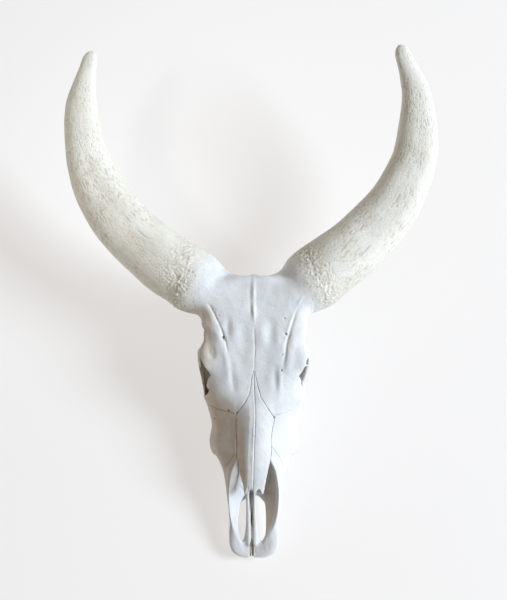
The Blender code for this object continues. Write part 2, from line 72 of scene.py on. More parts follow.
def through(points, count):
    """Evenly numbered points on a smooth curve through the given ones."""
    points = np.array(points, float)
    ends = np.concatenate([[points[0] * 2 - points[1]], points, [points[-1] * 2 - points[-2]]])
    s = np.linspace(0, len(points) - 1, count)
    k = np.minimum(s.astype(int), len(points) - 2)
    t = (s - k)[:, None]
    a, b, c, d = (ends[k + i] for i in range(4))
    bend, twist = 2 * a - 5 * b + 4 * c - d, 3 * b - a - 3 * c + d
    return 0.5 * (2 * b + (c - a) * t + bend * t**2 + twist * t**3)


def blended(places, values, at):
    """Values between the given ones, blended smoothly and held level past the ends."""
    places = np.array(places, float)
    values = np.array(values, float)
    slopes = np.gradient(values, places)
    i = np.clip(np.searchsorted(places, at) - 1, 0, len(places) - 2)
    span = places[i + 1] - places[i]
    t = np.clip((at - places[i]) / span, 0, 1)
    return ((2 * t**3 - 3 * t**2 + 1) * values[i] + (t**3 - 2 * t**2 + t) * span * slopes[i]
            + (3 * t**2 - 2 * t**3) * values[i + 1] + (t**3 - t**2) * span * slopes[i + 1])


def ramp(value, start, end):
    """A smooth rise from 0 at start to 1 at end."""
    t = np.clip((value - start) / (end - start), 0, 1)
    return t * t * (3 - 2 * t)


def lattice(cells, seed):
    """A repeatable number between -1 and 1 for each whole-numbered place."""
    h = np.full(cells.shape[:-1], seed * 374761393 + 668265263, np.uint64)
    for i, prime in enumerate((73856093, 19349663, 83492791)):
        part = cells[..., i].astype(np.int64).astype(np.uint64) * np.uint64(prime)
        h = (h ^ part) * np.uint64(2654435761)
        h ^= h >> np.uint64(29)
    return ((h & np.uint64(0xFFFFFF)).astype(np.float64) / 0x7FFFFF - 1).astype(np.float32)


def between_corners(t, value_at):
    """Blends the values at the corners of a cell by the shares t of the way across it."""
    total = 0
    for corner in np.ndindex(2, 2, 2):
        weight = 1
        for i in range(3):
            weight = weight * (t[..., i] if corner[i] else 1 - t[..., i])
        total = total + weight * value_at(np.array(corner))
    return total


def noise(points, size, seed):
    """Smooth noise between about -1 and 1, with features about as large as size."""
    scaled = np.asarray(points, np.float64) / size
    cell = np.floor(scaled)
    t = scaled - cell
    t = (t * t * (3 - 2 * t)).astype(np.float32)
    cell = cell.astype(np.int64)
    return between_corners(t, lambda corner: lattice(cell + corner, seed))


def layered_noise(points, size, seed, layers=3):
    """Noise with finer and weaker layers added to it."""
    return sum(noise(points, size / 2**i, seed + 17 * i) / 2**i for i in range(layers))


# ---------------------------------------------------------------- distances

def smooth_min(a, b, blend):
    """The smaller of two distances, rounded where they are nearly equal."""
    h = np.maximum(blend - np.abs(a - b), 0) / blend
    return np.minimum(a, b) - h * h * np.float32(blend / 4)


def smooth_max(a, b, blend):
    return -smooth_min(-a, -b, blend)


class Shape:
    """A signed distance in millimetres, and the box that it is worked out in."""

    def __init__(self, distance, low, high):
        self.distance = distance
        self.low = np.array(low, float)
        self.high = np.array(high, float)


def ellipsoid(at, size, turn=(0, 0, 0)):
    """Half sizes across, ahead and up, turned by degrees."""
    pitch, roll, yaw = turn
    spin = np.array(Euler([math.radians(a) for a in (-pitch, roll, -yaw)]).to_matrix())
    at = np.array(at, float)
    size = np.array(size, float)

    def distance(*place):
        off = [p - np.float32(c) for p, c in zip(place, at)]
        own = [sum(off[j] * np.float32(spin[j, i]) for j in range(3)) for i in range(3)]
        scaled = np.sqrt(sum((own[i] / np.float32(size[i])) ** 2 for i in range(3)))
        slope = np.sqrt(sum((own[i] / np.float32(size[i] ** 2)) ** 2 for i in range(3)))
        return scaled * (scaled - 1) / (slope + np.float32(1e-6))

    reach = np.sqrt(((spin * size) ** 2).sum(axis=1))
    return Shape(distance, at - reach, at + reach)


def tube(points, radii, steps=4, flat=None):
    """A round bar through points; flat = (direction, share) thins it in that direction."""
    places = through(points, steps * (len(points) - 1) + 1)
    spread = np.linspace(0, 1, len(places))
    widths = np.interp(spread, np.linspace(0, 1, len(radii)), radii)

    def distance(*place):
        best = None
        for start, end, wide, wider in zip(places, places[1:], widths, widths[1:]):
            along = end - start
            off = [p - np.float32(c) for p, c in zip(place, start)]
            t = sum(o * np.float32(c) for o, c in zip(off, along)) / np.float32(along @ along)
            t = np.clip(t, 0, 1)
            off = [o - t * np.float32(c) for o, c in zip(off, along)]
            if flat:
                axis = np.array(flat[0], float) / np.linalg.norm(flat[0])
                extra = sum(o * np.float32(c) for o, c in zip(off, axis)) * np.float32(1 / flat[1] - 1)
                off = [o + extra * np.float32(c) for o, c in zip(off, axis)]
            gap = np.sqrt(sum(o * o for o in off)) - (np.float32(wide) + t * np.float32(wider - wide))
            if flat:
                gap = gap * np.float32(math.sqrt(flat[1]))
            best = gap if best is None else np.minimum(best, gap)
        return best

    reach = widths.max()
    return Shape(distance, places.min(axis=0) - reach, places.max(axis=0) + reach)


# How softly a loft is rounded along its middle line and at its two ends.
LOFT_RIDGE = 3.0
LOFT_END = 6.0


def loft(stations):
    """A body through superelliptic sections, written as in the solids: (ahead, half width, top,
    widest level, bottom, roundness above, roundness below)."""
    table = np.array(stations, float)
    first, last = table[0, 0], table[-1, 0]

    def distance(x, ahead, up):
        half, top, waist, bottom, over, under = (
            blended(table[:, 0], table[:, i], ahead).astype(np.float32) for i in range(1, 7))
        across = np.sqrt(x * x + np.float32(LOFT_RIDGE**2)) - np.float32(LOFT_RIDGE)
        above = up > waist
        power = np.where(above, over, under)
        tall = np.where(above, top - waist, waist - bottom)
        high = np.maximum(np.abs(up - waist) / tall, 1e-4)
        wide = np.maximum(across / half, 1e-4)
        scaled = (wide**power + high**power) ** (1 / power)
        reach = np.sqrt(across * across + (up - waist) ** 2)
        gap = reach * (1 - 1 / np.maximum(scaled, np.float32(0.05)))
        past = np.maximum(np.float32(first) - ahead, ahead - np.float32(last)).astype(np.float32)
        return smooth_max(gap * np.float32(0.9), past + 0 * gap, LOFT_END)

    half = table[:, 1].max()
    return Shape(distance, (-half, first - 1, table[:, 4].min()), (half, last + 1, table[:, 2].max()))


class Field:
    """Signed distances sampled over a box of the face frame. They are negative inside the bone."""

    def __init__(self, low, high):
        counts = [int(math.ceil((b - a) / STEP)) + 1 for a, b in zip(low, high)]
        self.axes = [(a + STEP * np.arange(n)).astype(np.float32) for a, n in zip(low, counts)]
        self.values = np.full(counts, FAR, np.float32)

    def window(self, low, high, margin):
        spans = []
        for axis, a, b in zip(self.axes, low, high):
            start, stop = np.searchsorted(axis, (a - margin, b + margin))
            spans.append(slice(int(start), int(stop)))
        return tuple(spans)

    def places(self, spans=(slice(None),) * 3):
        x, ahead, up = (axis[span] for axis, span in zip(self.axes, spans))
        return x[:, None, None], ahead[None, :, None], up[None, None, :]

    def add(self, shape, blend):
        spans = self.window(shape.low, shape.high, blend + REACH)
        part = self.values[spans]
        if part.size:
            self.values[spans] = smooth_min(part, shape.distance(*self.places(spans)), blend)

    def cut(self, shape, blend):
        spans = self.window(shape.low, shape.high, blend + BAND)
        part = self.values[spans]
        if part.size:
            self.values[spans] = smooth_max(part, -shape.distance(*self.places(spans)), blend)

    def alike(self, values, axes=None):
        """A field of other values, on the same axes unless others are given."""
        field = Field.__new__(Field)
        field.values = values
        field.axes = axes or self.axes
        return field

    def mirrored(self):
        """The whole field, from one whose first sample is at the middle."""
        across = np.concatenate([-self.axes[0][:0:-1], self.axes[0]])
        return self.alike(np.concatenate([self.values[:0:-1], self.values]), [across, *self.axes[1:]])

    def even_out(self):
        """Brings the distances near the surface close to true ones, whatever shapes they came from."""
        near = np.clip(self.values, -REACH, REACH)
        steepness = np.sqrt(sum(slope * slope for slope in np.gradient(near, STEP)))
        self.values = (near / np.maximum(steepness, 0.35)).astype(np.float32)

    def part(self, low, high):
        """A copy of the samples inside a box."""
        spans = self.window(low, high, STEP / 2)
        return self.alike(self.values[spans].copy(), [axis[span] for axis, span in zip(self.axes, spans)])

    def sample(self, points):
        """The distances at any points, blended between the samples."""
        low = np.array([axis[0] for axis in self.axes])
        scaled = (points - low) / STEP
        limit = np.array(self.values.shape) - 2
        cell = np.clip(np.floor(scaled).astype(int), 0, limit)
        t = np.clip(scaled - cell, 0, 1)
        return between_corners(t, lambda corner: self.values[tuple((cell + corner).T)])

    def surface(self):
        """Points in the face frame and four-sided faces of the surface."""
        values = np.clip(self.values, -BAND, BAND)
        for i in range(3):
            edge = [slice(None)] * 3
            for edge[i] in (0, -1):
                values[tuple(edge)] = BAND
        grid = openvdb.FloatGrid(BAND)
        grid.copyFromArray(np.ascontiguousarray(values))
        points, faces = grid.convertToQuads(0.0)[:2]
        low = np.array([axis[0] for axis in self.axes])
        return points * STEP + low, faces.astype(np.int64)


# ---------------------------------------------------------------- the skull's masses

# (ahead, half width, top, widest level, bottom, roundness above, roundness below)
ROOF_AND_FACE = [
    (-1, 42, -7, -36, -84, 2.6, 2.2),
    (7, 66, -3, -36, -82, 3.0, 2.2),
    (20, 84, -1, -34, -80, 3.8, 2.2),
    (55, 88, 1, -28, -68, 4.6, 2.2),
    (95, 90.5, 2, -22, -56, 4.8, 2.2),
    (116, 88, 3, -20, -50, 4.8, 2.2),
    (136, 94, 3, -19, -46, 4.6, 2.2),
    (150, 95, 2, -20, -48, 4.4, 2.2),
    (172, 81, 1, -26, -62, 3.8, 2.4),
    (190, 81, 0, -40, -96, 3.2, 2.8),
    (205, 87, -1, -54, -120, 2.6, 3.0),
    (217, 88, -1, -61, -126, 2.2, 3.0),
    (234, 81, -1, -68, -123, 1.95, 3.0),
    (255, 75.5, -1, -76, -119, 1.8, 3.0),
    (280, 74, -2, -80, -113, 1.7, 3.0),
    (304, 75, -3, -78, -107, 1.7, 3.0),
    (318, 70, -4, -73, -103, 1.75, 3.0),
    (332, 61.5, -5, -68, -99, 1.8, 3.0),
    (352, 53, -7, -62, -92, 1.9, 3.0),
    (372, 49, -9, -58, -84, 2.0, 3.0),
    (396, 46, -12, -56, -76, 2.0, 3.0),
    (423, 43, -20, -57, -70, 2.2, 3.0),
    (446, 41.5, -36, -56, -66, 2.4, 3.0),
    (468, 42, -45, -55, -64, 2.6, 2.6),
    (488, 40, -47, -54, -61, 2.4, 2.4),
    (500, 33, -48, -54, -60, 2.2, 2.2),
    (508, 20, -50, -54, -59, 2.2, 2.2),
]
BRAINCASE = [
    (4, 62, -18, -62, -128, 2.2, 2.0),
    (26, 70, -12, -66, -138, 2.0, 2.0),
    (60, 66, -10, -68, -134, 2.0, 2.0),
    (100, 56, -10, -64, -124, 2.0, 2.0),
    (140, 46, -10, -62, -118, 2.2, 2.2),
    (180, 44, -10, -62, -118, 2.4, 2.4),
    (215, 48, -10, -62, -120, 2.4, 2.4),
]

# Horn cores, as in the solids: the axis of each from its burr to its tip.
HORN_AXES = {
    1: [(112, 0, -46), (190, -60, -52), (251, -129, -58), (288, -206, -58), (296, -272, -52),
        (291, -332, -42), (270, -388, -30), (259, -414, -24)],
    -1: [(-114, 5, -46), (-174, -36, -51), (-239, -96, -57), (-284, -167, -60), (-306, -240, -56),
         (-311, -306, -47), (-299, -368, -33), (-288, -403, -25)],
}
HORN_RADIUS = 57
HORN_TAPER_START = 1.45
HORN_TAPER_END = 0.58
HORN_TIP_BLUNTNESS = 3.5

# Bars and rounded masses of the right side, each with how widely it blends in.
MASTOID = ellipsoid((60, 22, -86), (26, 22, 38))
TEMPLE = ellipsoid((66, 44, -64), (22, 44, 34))
CONDYLE = ellipsoid((27, 20, -136), (18, 19, 25), (0, 24, 0))
PARACONDYLAR = tube([(52, 24, -112), (53, 30, -148), (50, 37, -178), (49, 41, -192.3)],
                    [20, 14, 9.5, 7.5])
EAR_BULB = ellipsoid((38, 62, -144), (15, 22, 27), (18, 0, 0))
EAR_TUBE = ellipsoid((68, 48, -112), (16, 12, 12))
JAW_JOINT = ellipsoid((64, 80, -110), (22, 13, 10))
CHEEK_ARCH = tube([(68, 48, -100), (80, 72, -104), (83, 100, -98), (89, 128, -90), (95, 153, -88),
                   (92, 184, -88), (84, 218, -87), (72, 262, -90)],
                  [12, 9, 7, 8, 9, 9, 10, 8], flat=((1, 0, 0), 0.5))
TUBER = ellipsoid((70, 302, -88), (10, 24, 12))
BROW = ellipsoid((84, 146, -18), (15, 24, 17))
GUMS = tube([(40, 352, -84), (46, 320, -96), (54, 270, -110), (57, 216, -122)], [9, 12, 13, 10])
WING = tube([(22, 212, -118), (20, 180, -124), (21, 145, -126), (22, 112, -124)], [8, 7, 6, 6],
            flat=((1, 0, 0), 0.6))
RIGHT_MASSES = [(MASTOID, 10), (TEMPLE, 12), (CONDYLE, 5), (PARACONDYLAR, 8), (EAR_BULB, 4),
                (EAR_TUBE, 5), (JAW_JOINT, 6), (CHEEK_ARCH, 7), (TUBER, 8), (BROW, 8), (GUMS, 12),
                (WING, 6)]
SKULL_BASE = tube([(0, 34, -138), (0, 60, -134), (0, 115, -122), (0, 190, -112)], [17, 19, 16, 14])
OCCIPITAL_CREST = tube([(0, 5, -34), (0, 1, -62), (0, 2, -92)], [6, 5, 3])


def socket_rim():
    """The ring of bone round the right eye socket."""
    turn = np.linspace(0, 2 * math.pi, 25)[:, None]
    ring = (np.array((86.5, 168, -50)) + np.cos(turn) * np.array((-6, 33, 0))
            + np.sin(turn) * np.array((-9, 8, 32)))
    return tube(ring, [5.6, 5.2, 6.0, 5.0, 5.6], steps=1)


def horn_base(side):
    """The point where a horn core's axis starts, and the way in which it leaves."""
    base, following = np.array(HORN_AXES[side][:2], float)
    return base, (following - base) / np.linalg.norm(following - base)


def pedicle(side):
    """The stub of the frontal bone that carries a horn core; it narrows into the core past the burr."""
    axis = [(side * 58, 44, -46), (side * 84, 24, -46), *HORN_AXES[side][:3]]
    points = through(axis, 33)
    base, onward = horn_base(side)
    past = (points - base) @ onward
    keep = past < 14
    radii = np.interp(past[keep], [-70, -32, -8, 8], [38, 49, HORN_RADIUS + 0.4, HORN_RADIUS - 0.8])
    return tube(points[keep], radii, steps=2)


def closed_skull():
    """All bone but the horn cores and teeth, before any opening is cut."""
    half = Field((0, -80, -216), (154, 514, 16))
    half.add(loft(ROOF_AND_FACE), 1)
    half.add(loft(BRAINCASE), 8)
    half.add(SKULL_BASE, 8)
    half.add(OCCIPITAL_CREST, 8)
    half.add(socket_rim(), 6)
    for shape, blend in RIGHT_MASSES:
        half.add(shape, blend)
    whole = half.mirrored()
    for side in SIDES:
        whole.add(pedicle(side), 20)
    return whole


# ---------------------------------------------------------------- drawings in plan, as (x, ahead)

# The line between the two sides, which leans to the left towards the muzzle.
MIDDLE_LINE = [(0.0, 150), (0.9, 214), (2.6, 239), (1.2, 282), (-0.2, 325), (-2.3, 381), (-4.4, 398),
               (-4.4, 515)]

# The outer edge of each nasal bone, from its back end to the fork at its front.
NASAL_EDGES = {
    -1: [(-0.2, 161), (-2.6, 172), (-4.6, 181), (-5.8, 196), (-8.9, 210), (-16.3, 225), (-25.8, 238),
         (-33, 250), (-34.5, 260), (-31.6, 283), (-30.3, 303), (-31, 318), (-29.2, 329), (-25.4, 349),
         (-21.6, 368), (-18.4, 385), (-16.5, 391.5), (-14.4, 388), (-12.6, 380), (-10.9, 376),
         (-9.5, 378), (-8, 383.5), (-6.4, 377.5), (-4.8, 378), (-3.2, 384)],
    1: [(0.6, 161), (2.2, 174), (4.6, 188), (11.5, 215), (24.4, 235.5), (34.2, 250), (35.8, 257),
        (33, 270), (30.8, 287), (30.8, 312), (28.7, 329), (25.4, 344), (22.3, 359), (18.6, 380),
        (16.6, 389.5), (13.8, 388.5), (11.6, 383), (9, 379.5), (6.5, 380.5), (3.5, 385), (0.6, 387.5),
        (-1.6, 385)],
}
NASAL_THICKNESS = 4.2
NASAL_DIP = 6.0
BONE_GAP = 0.36

FISSURES = {
    -1: [(-15.2, 402.5), (-23.7, 410.6), (-27.1, 426), (-29.2, 442.5), (-28.3, 460), (-25, 472),
         (-20.5, 478), (-16.4, 465), (-14.6, 440), (-14.2, 411)],
    1: [(3.6, 396), (7, 398), (11.5, 401), (15.5, 405.5), (19.6, 411.5), (21.6, 432), (21.4, 460),
        (18, 473), (12.4, 478.5), (7.2, 468), (5.2, 440), (3.9, 410)],
}
MUZZLE_SLIT = [(-2.3, 386.5), (-3.0, 397), (-3.1, 418), (-4.2, 438), (-5.3, 438), (-6.2, 418),
               (-7.9, 401), (-6.4, 393)]
MUZZLE_NOTCH = [(-4.4, 474), (-6.9, 482), (-8.2, 492), (-7.4, 499), (-8.4, 512), (-0.4, 512), (-1.4, 499),
                (-0.8, 492), (-2.2, 482)]

# The sockets' gaps as they show from above: narrow crescents inside a thin outer rim.
SOCKET_CRESCENTS = {
    -1: [(-95.4, 144), (-94.7, 161), (-92.2, 177), (-90.3, 187), (-89.5, 197), (-88.6, 205), (-87.5, 214),
         (-84, 212), (-79.5, 203.5), (-83.5, 200), (-86, 196), (-84.5, 188), (-82, 184), (-76.5, 177),
         (-80, 170), (-87.6, 161), (-93, 150)],
    1: [(95.2, 144), (96.6, 152), (95.2, 162), (93.4, 172), (89.5, 184), (87, 190), (84, 184),
        (79.5, 178), (85.5, 170), (91, 159), (94, 149)],
}

# The open nose: its left and right rims, their level and its floor's, at places ahead.
NOSE_AHEAD = [258, 275, 300, 322, 330, 347, 368, 394, 424, 442, 458, 470, 482, 496]
NOSE_LEFT = [-8, -18, -24, -28, -33, -38.9, -43, -45, -43.5, -41, -37, -34, -32, -32]
NOSE_RIGHT = [8, 18, 24, 27, 30, 36.5, 40.5, 42, 41, 37, 31, 26, 22, 22]
NOSE_RIM = [-20, -18, -16, -16, -17, -25, -32, -41, -45, -45, -45, -45, -43, -38]
NOSE_FLOOR = [-30, -60, -76, -79, -79, -76, -71, -66, -61.5, -58, -54.5, -51, -45, -37]
NOSE_WALL_POWER = 2.2

# Relief of the forehead and face: ridges are raised, and grooves, with a height below 0, are sunk.
# (points, half width, height)
CREASES = [
    ([(0.4, -3), (-0.8, 35), (0.4, 92)], 3.0, 2.2),
    ([(-7, 0), (-7, 40), (-5, 82)], 3.0, -0.8),
    ([(1.4, 78), (0.6, 100), (1.6, 125), (0.6, 150), (1, 180)], 1.3, -0.9),
    ([(-84, 46), (-73.5, 61), (-62, 85), (-53.2, 108), (-48.6, 124), (-46.4, 140)], 1.9, -3.4),
    ([(-94, 36), (-80, 66), (-67, 98), (-58.5, 122), (-51, 146), (-46.4, 170), (-46, 204)], 5.2, 1.6),
    ([(-90, 84), (-83, 106), (-77, 128), (-70, 152)], 8, -5.2),
    ([(-41, 150), (-38, 172), (-36, 212)], 6.5, -1.9),
    ([(88, 30), (70.5, 67), (59.6, 97), (53, 128)], 2.2, 1.4),
    ([(80, 44), (69, 79), (63.6, 97), (58, 117), (54.6, 143), (49.6, 170)], 2.9, -2.6),
    ([(72, 96), (68, 124), (62, 154), (56, 190)], 7.0, 1.5),
    ([(45, 160), (46, 188), (45, 226)], 5.0, 1.3),
    ([(36, 150), (37.5, 188), (36, 220)], 6.0, -1.2),
    ([(-34, 251), (-44, 231), (-56, 214), (-71, 205), (-80, 202)], 0.9, -0.5),
    ([(35, 251), (46, 232), (58, 216), (71, 208), (79, 206)], 0.9, -0.45),
    ([(88.5, 204), (83.5, 213), (78, 224), (74, 236)], 0.9, -0.9),
    ([(85.5, 202), (80.5, 211), (75, 222)], 0.8, -0.6),
    ([(-1.6, 205), (0.4, 240), (-1.1, 283), (-2.5, 325), (-4.5, 380)], 1.7, 0.8),
    ([(-37, 250), (-33.8, 280), (-32.6, 304), (-33.8, 338)], 1.4, 1.9),
    ([(-60, 300), (-52, 318), (-44, 350)], 7.0, -1.5),
]
# (place, half sizes, height)
BUMPS = [
    ((-35, 98), (9, 16), 2.4),
    ((-46, 88), (6, 16), -1.8),
    ((-17, 112), (9, 20), -1.6),
    ((13, 106), (9, 20), 2.0),
    ((29, 96), (9, 18), -2.2),
    ((42, 112), (7, 14), 1.3),
    ((-24, 160), (13, 28), -1.4),
    ((22, 160), (12, 26), -1.4),
    ((-30, 40), (22, 24), -1.2),
    ((34, 36), (22, 24), -1.2),
    ((-58, 232), (14, 14), -1.2),
    ((58, 236), (14, 14), -0.8),
]
# How far the face drops from the shoulders of the nasal bones to their outer edges.
SHOULDER_FALL = {-1: 9.5, 1: 2.0}
SHOULDERS = {-1: (10, 32), 1: (7, 33)}
# Holes for vessels and nerves: (x, ahead, radius, depth, lean ahead).
FORAMINA = [(-53.5, 109, 2.6, 9, -4), (56.6, 103.5, 2.4, 9, -4), (50.3, 139, 1.3, 4, 0),
            (48.5, 167, 1.3, 4, 0), (54, 75, 1.2, 4, 0), (-45.1, 239, 1.5, 5, 0),
            (-70.8, 256.5, 1.3, 4, 0), (-62, 70, 1.0, 3, 0), (-29.5, 243.5, 2.0, 7, 0),
            (35.2, 251.5, 1.9, 6, 0), (-69, 60, 0.9, 3, 0)]
# The naso-frontal suture gapes here.
OPEN_SUTURE = [(-17.5, 227), (-26.4, 239), (-33.8, 250.5)]


def line_distance(points, x, ahead):
    """How far each place is from a line drawn in plan, and how far along the line, from 0 to 1."""
    points = np.array(points, float)
    lengths = np.hypot(*np.diff(points, axis=0).T)
    best = np.full(np.broadcast(x, ahead).shape, 1e9)
    along = np.zeros_like(best)
    used = 0
    for start, end, length in zip(points, points[1:], lengths):
        way = (end - start) / length
        t = np.clip((x - start[0]) * way[0] + (ahead - start[1]) * way[1], 0, length)
        gap = np.hypot(x - start[0] - t * way[0], ahead - start[1] - t * way[1])
        nearer = gap < best
        best = np.where(nearer, gap, best)
        along = np.where(nearer, (used + t) / lengths.sum(), along)
        used += length
    return best, along


def outline_distance(outline, x, ahead):
    """The signed distance in plan from a closed outline, negative inside it."""
    outline = [*outline, outline[0]]
    gap = line_distance(outline, x, ahead)[0]
    inside = np.zeros(gap.shape, bool)
    for (x0, a0), (x1, a1) in zip(outline, outline[1:]):
        if a0 != a1:
            crosses = (ahead < a0) != (ahead < a1)
            inside ^= crosses & (x < (x1 - x0) * (ahead - a0) / (a1 - a0) + x0)
    return np.where(inside, -gap, gap)


def middle_at(ahead):
    places = [a for _, a in MIDDLE_LINE]
    return blended(places, [x for x, _ in MIDDLE_LINE], ahead)


def nasal_outline(side):
    """A nasal bone in plan: its outer edge, closed along the middle line."""
    middle = [(middle_at(ahead) + side * 0.1, ahead) for ahead in range(380, 175, -12)]
    return [*NASAL_EDGES[side], *middle]


def shoulder_fall(side, out):
    """How far the face lies below its smooth mass, by the distance out from the middle line."""
    start, stop = SHOULDERS[side]
    return SHOULDER_FALL[side] * np.clip((side * out - start) / (stop - start), 0, 1) ** 1.15


def relief(x, ahead):
    """Height of the forehead's and face's relief over the smooth masses, in plan."""
    places = np.stack(np.broadcast_arrays(x, ahead, 0.0), axis=-1)
    total = np.zeros(places.shape[:-1])
    for points, width, height in CREASES:
        line = through(points, 8 * len(points))
        gap, along = line_distance(line, x, ahead)
        total += height * np.exp(-(gap / width) ** 2) * ramp(along, 0, 0.22) * ramp(along, 1, 0.7)
    total *= 0.9 + 0.5 * noise(places, 15, 3)
    for (cx, ca), (sx, sa), height in BUMPS:
        total += height * np.exp(-((x - cx) / sx) ** 2 - ((ahead - ca) / sa) ** 2)
    out = x - middle_at(ahead)
    for side in SIDES:
        total -= shoulder_fall(side, out) * ramp(ahead, 205, 262) * ramp(ahead, 352, 326)
    return total + 0.6 * layered_noise(places, 34, 5) + 0.13 * layered_noise(places, 9, 9)


# ---------------------------------------------------------------- openings

def plan_cut(outline, low_up, high_up, count=0):
    """A cutter between two levels, with an outline drawn in plan that is smoothed if given a count."""
    drawn = through([*outline, outline[0]], count)[:-1].tolist() if count else outline
    low, high = np.min(drawn, axis=0), np.max(drawn, axis=0)
    middle, half = (low_up + high_up) / 2, (high_up - low_up) / 2

    def distance(x, ahead, up):
        gap = outline_distance(drawn, x[:, :, 0], ahead[:, :, 0]).astype(np.float32)
        return np.maximum(gap[:, :, None], np.abs(up - np.float32(middle)) - np.float32(half))

    return Shape(distance, (*low, low_up), (*high, high_up))


def nose_hollow():
    """Everything above the floor and the sloping walls of the nose."""
    def distance(x, ahead, up):
        x, ahead = x[:, :, 0], ahead[:, :, 0]
        middle = middle_at(ahead)
        left, right, rim, floor = (blended(NOSE_AHEAD, row, ahead) for row in
                                   (NOSE_LEFT, NOSE_RIGHT, NOSE_RIM, NOSE_FLOOR))
        out = np.where(x < middle, (middle - x) / (middle - left), (x - middle) / (right - middle))
        level = floor + (rim - floor) * np.minimum(out, 1.6) ** NOSE_WALL_POWER
        slope = np.sqrt(1 + sum(s**2 for s in np.gradient(level, STEP)))
        past = np.maximum(NOSE_AHEAD[0] - ahead, ahead - NOSE_AHEAD[-1])
        gap = (level[:, :, None] - up) / slope[:, :, None]
        return smooth_max(gap.astype(np.float32), (past[:, :, None] + 0 * gap).astype(np.float32), 4)

    return Shape(distance, (min(NOSE_LEFT) * 1.3, NOSE_AHEAD[0], min(NOSE_FLOOR)),
                 (max(NOSE_RIGHT) * 1.3, NOSE_AHEAD[-1], 10))


PALATE_HOLLOW = loft([(196, 34, -118, -124, -150, 2.4, 2.4), (250, 38, -110, -128, -150, 2.4, 2.4),
                      (310, 32, -95, -114, -140, 2.4, 2.4), (356, 26, -86, -104, -120, 2.4, 2.4)])
THROAT_HOLLOW = loft([(120, 12, -112, -128, -150, 2.2, 2.4), (160, 14, -102, -126, -150, 2.2, 2.4),
                      (215, 15, -104, -118, -140, 2.2, 2.4)])
SPINE_HOLE = ellipsoid((0, 4, -116), (17, 26, 15))
# The right eye socket's place, half sizes and turn, and the space round it that gets painted shade.
SOCKET = ((84, 170, -50), (44, 29, 29), (0, 12, 12))
SOCKET_SHADE_ZONE = ellipsoid(SOCKET[0], (46, 44, 44))

# The two thin strips of bone beside the middle of the muzzle: points and radii.
STRIPS = [
    ([(-11.6, 392, -68), (-11.4, 404, -58), (-10.4, 425, -54), (-9.6, 450, -54), (-9.6, 482, -55)],
     [2.6, 3.3, 3.7, 4.4, 5.2]),
    ([(0.2, 386, -68), (0.5, 399, -58), (0.8, 425, -54), (1.6, 450, -54), (1.9, 482, -55)],
     [2.4, 3.0, 3.4, 4.2, 5.0]),
]
# The hollowed upper face of the muzzle's end, and the ledge along the nose's left wall.
MUZZLE_SPOON = ellipsoid((-3, 486, -26), (46, 46, 28))
NOSE_LEDGE = tube([(-28, 331, -31), (-33.5, 347, -31.5), (-37.5, 364, -38), (-40, 382, -47),
                   (-41, 398, -58)], [8, 9, 9, 7, 4])
# The floors of the sockets, and the thin bar across the right one.
SOCKET_BARS = [
    ([(86, 150, -98), (85, 178, -98), (80, 206, -98)], [7, 11, 13]),
    ([(-87, 146, -98), (-85, 178, -98), (-80, 206, -98)], [7, 11, 13]),
    ([(88, 158.5, -9), (93, 158, -13), (99, 157, -22)], [1.5, 1.7, 2.2]),
]


def open_up(skull):
    """Cuts the sockets, nose, palate, throat and small holes."""
    skull.cut(nose_hollow(), 2.0)
    skull.cut(PALATE_HOLLOW, 4)
    skull.cut(THROAT_HOLLOW, 4)
    skull.cut(SPINE_HOLE, 4)
    for side in SIDES:
        (x, ahead, up), size, (pitch, roll, yaw) = SOCKET
        skull.cut(ellipsoid((side * x, ahead, up), size, (pitch, side * roll, side * yaw)), 4)
        skull.cut(plan_cut(SOCKET_CRESCENTS[side], -88, 20), 1.6)
        skull.cut(plan_cut(FISSURES[side], -100, -40, 80), 3.0)
        nerve_hole = [(side * 47, 358, -64), (side * 43, 346, -70), (side * 40, 332, -76)]
        skull.cut(tube(nerve_hole, [4, 3, 2]), 2)
    skull.cut(MUZZLE_SPOON, 6)
    skull.add(NOSE_LEDGE, 6)
    for points, radii in STRIPS:
        skull.add(tube(points, radii), 3)
    skull.cut(plan_cut(MUZZLE_SLIT, -63, -40, 60), 0.8)
    skull.cut(plan_cut(MUZZLE_NOTCH, -57.5, -30, 60), 0.8)
    for points, radii in SOCKET_BARS:
        skull.add(tube(points, radii), 3)


# ---------------------------------------------------------------- bones

# Sutures that part the face, as in the solids: crosswise planes through two points (ahead, up).
FACE_SUTURE = ((284, 60), (170, -170))
PREMAXILLA_SUTURE = ((316, -22), (396, -72))


def suture(points, wobble, seed):
    """A crosswise, finely jagged parting surface through two points in side view; it grows ahead."""
    (a0, u0), (a1, u1) = points
    length = math.hypot(a1 - a0, u1 - u0)
    ahead_part, up_part = (u0 - u1) / length, (a1 - a0) / length

    def distance(x, ahead, up):
        plane = (ahead - a0) * ahead_part + (up - u0) * up_part
        across = np.stack(np.broadcast_arrays(x[:, :, 0], 0.0 * x[:, :, 0], 0.0), axis=-1)
        shift = wobble * noise(across, 22, seed) + 0.9 * noise(across, 4.5, seed + 1)
        return (plane + shift[:, :, None]).astype(np.float32)

    return distance


def split(field, *limits):
    """A copy of a field that keeps only where every limit is below 0."""
    values = field.values
    for limit in limits:
        values = smooth_max(values, limit, 0.8)
    return field.alike(values)


def side_limit(field, side):
    x, ahead, _ = field.places()
    middle = middle_at(ahead)
    zigzag = 0.5 * np.sin(ahead * 0.9) * ramp(ahead, 400, 380)
    return (side * (middle + zigzag - x) + BONE_GAP / 2).astype(np.float32)


# A point on the middle line of each burr, and the way outwards, both in plan.
BURRS = {-1: ((-126, 0), (-0.965, -0.263)), 1: ((110, 0), (0.882, -0.472))}


def burr_reach(side, points):
    """How far points lie past the middle of the burr, outwards along the horn core."""
    base, normal = BURRS[side]
    return (points[..., 0] - base[0]) * normal[0] + (points[..., 1] - base[1]) * normal[1]


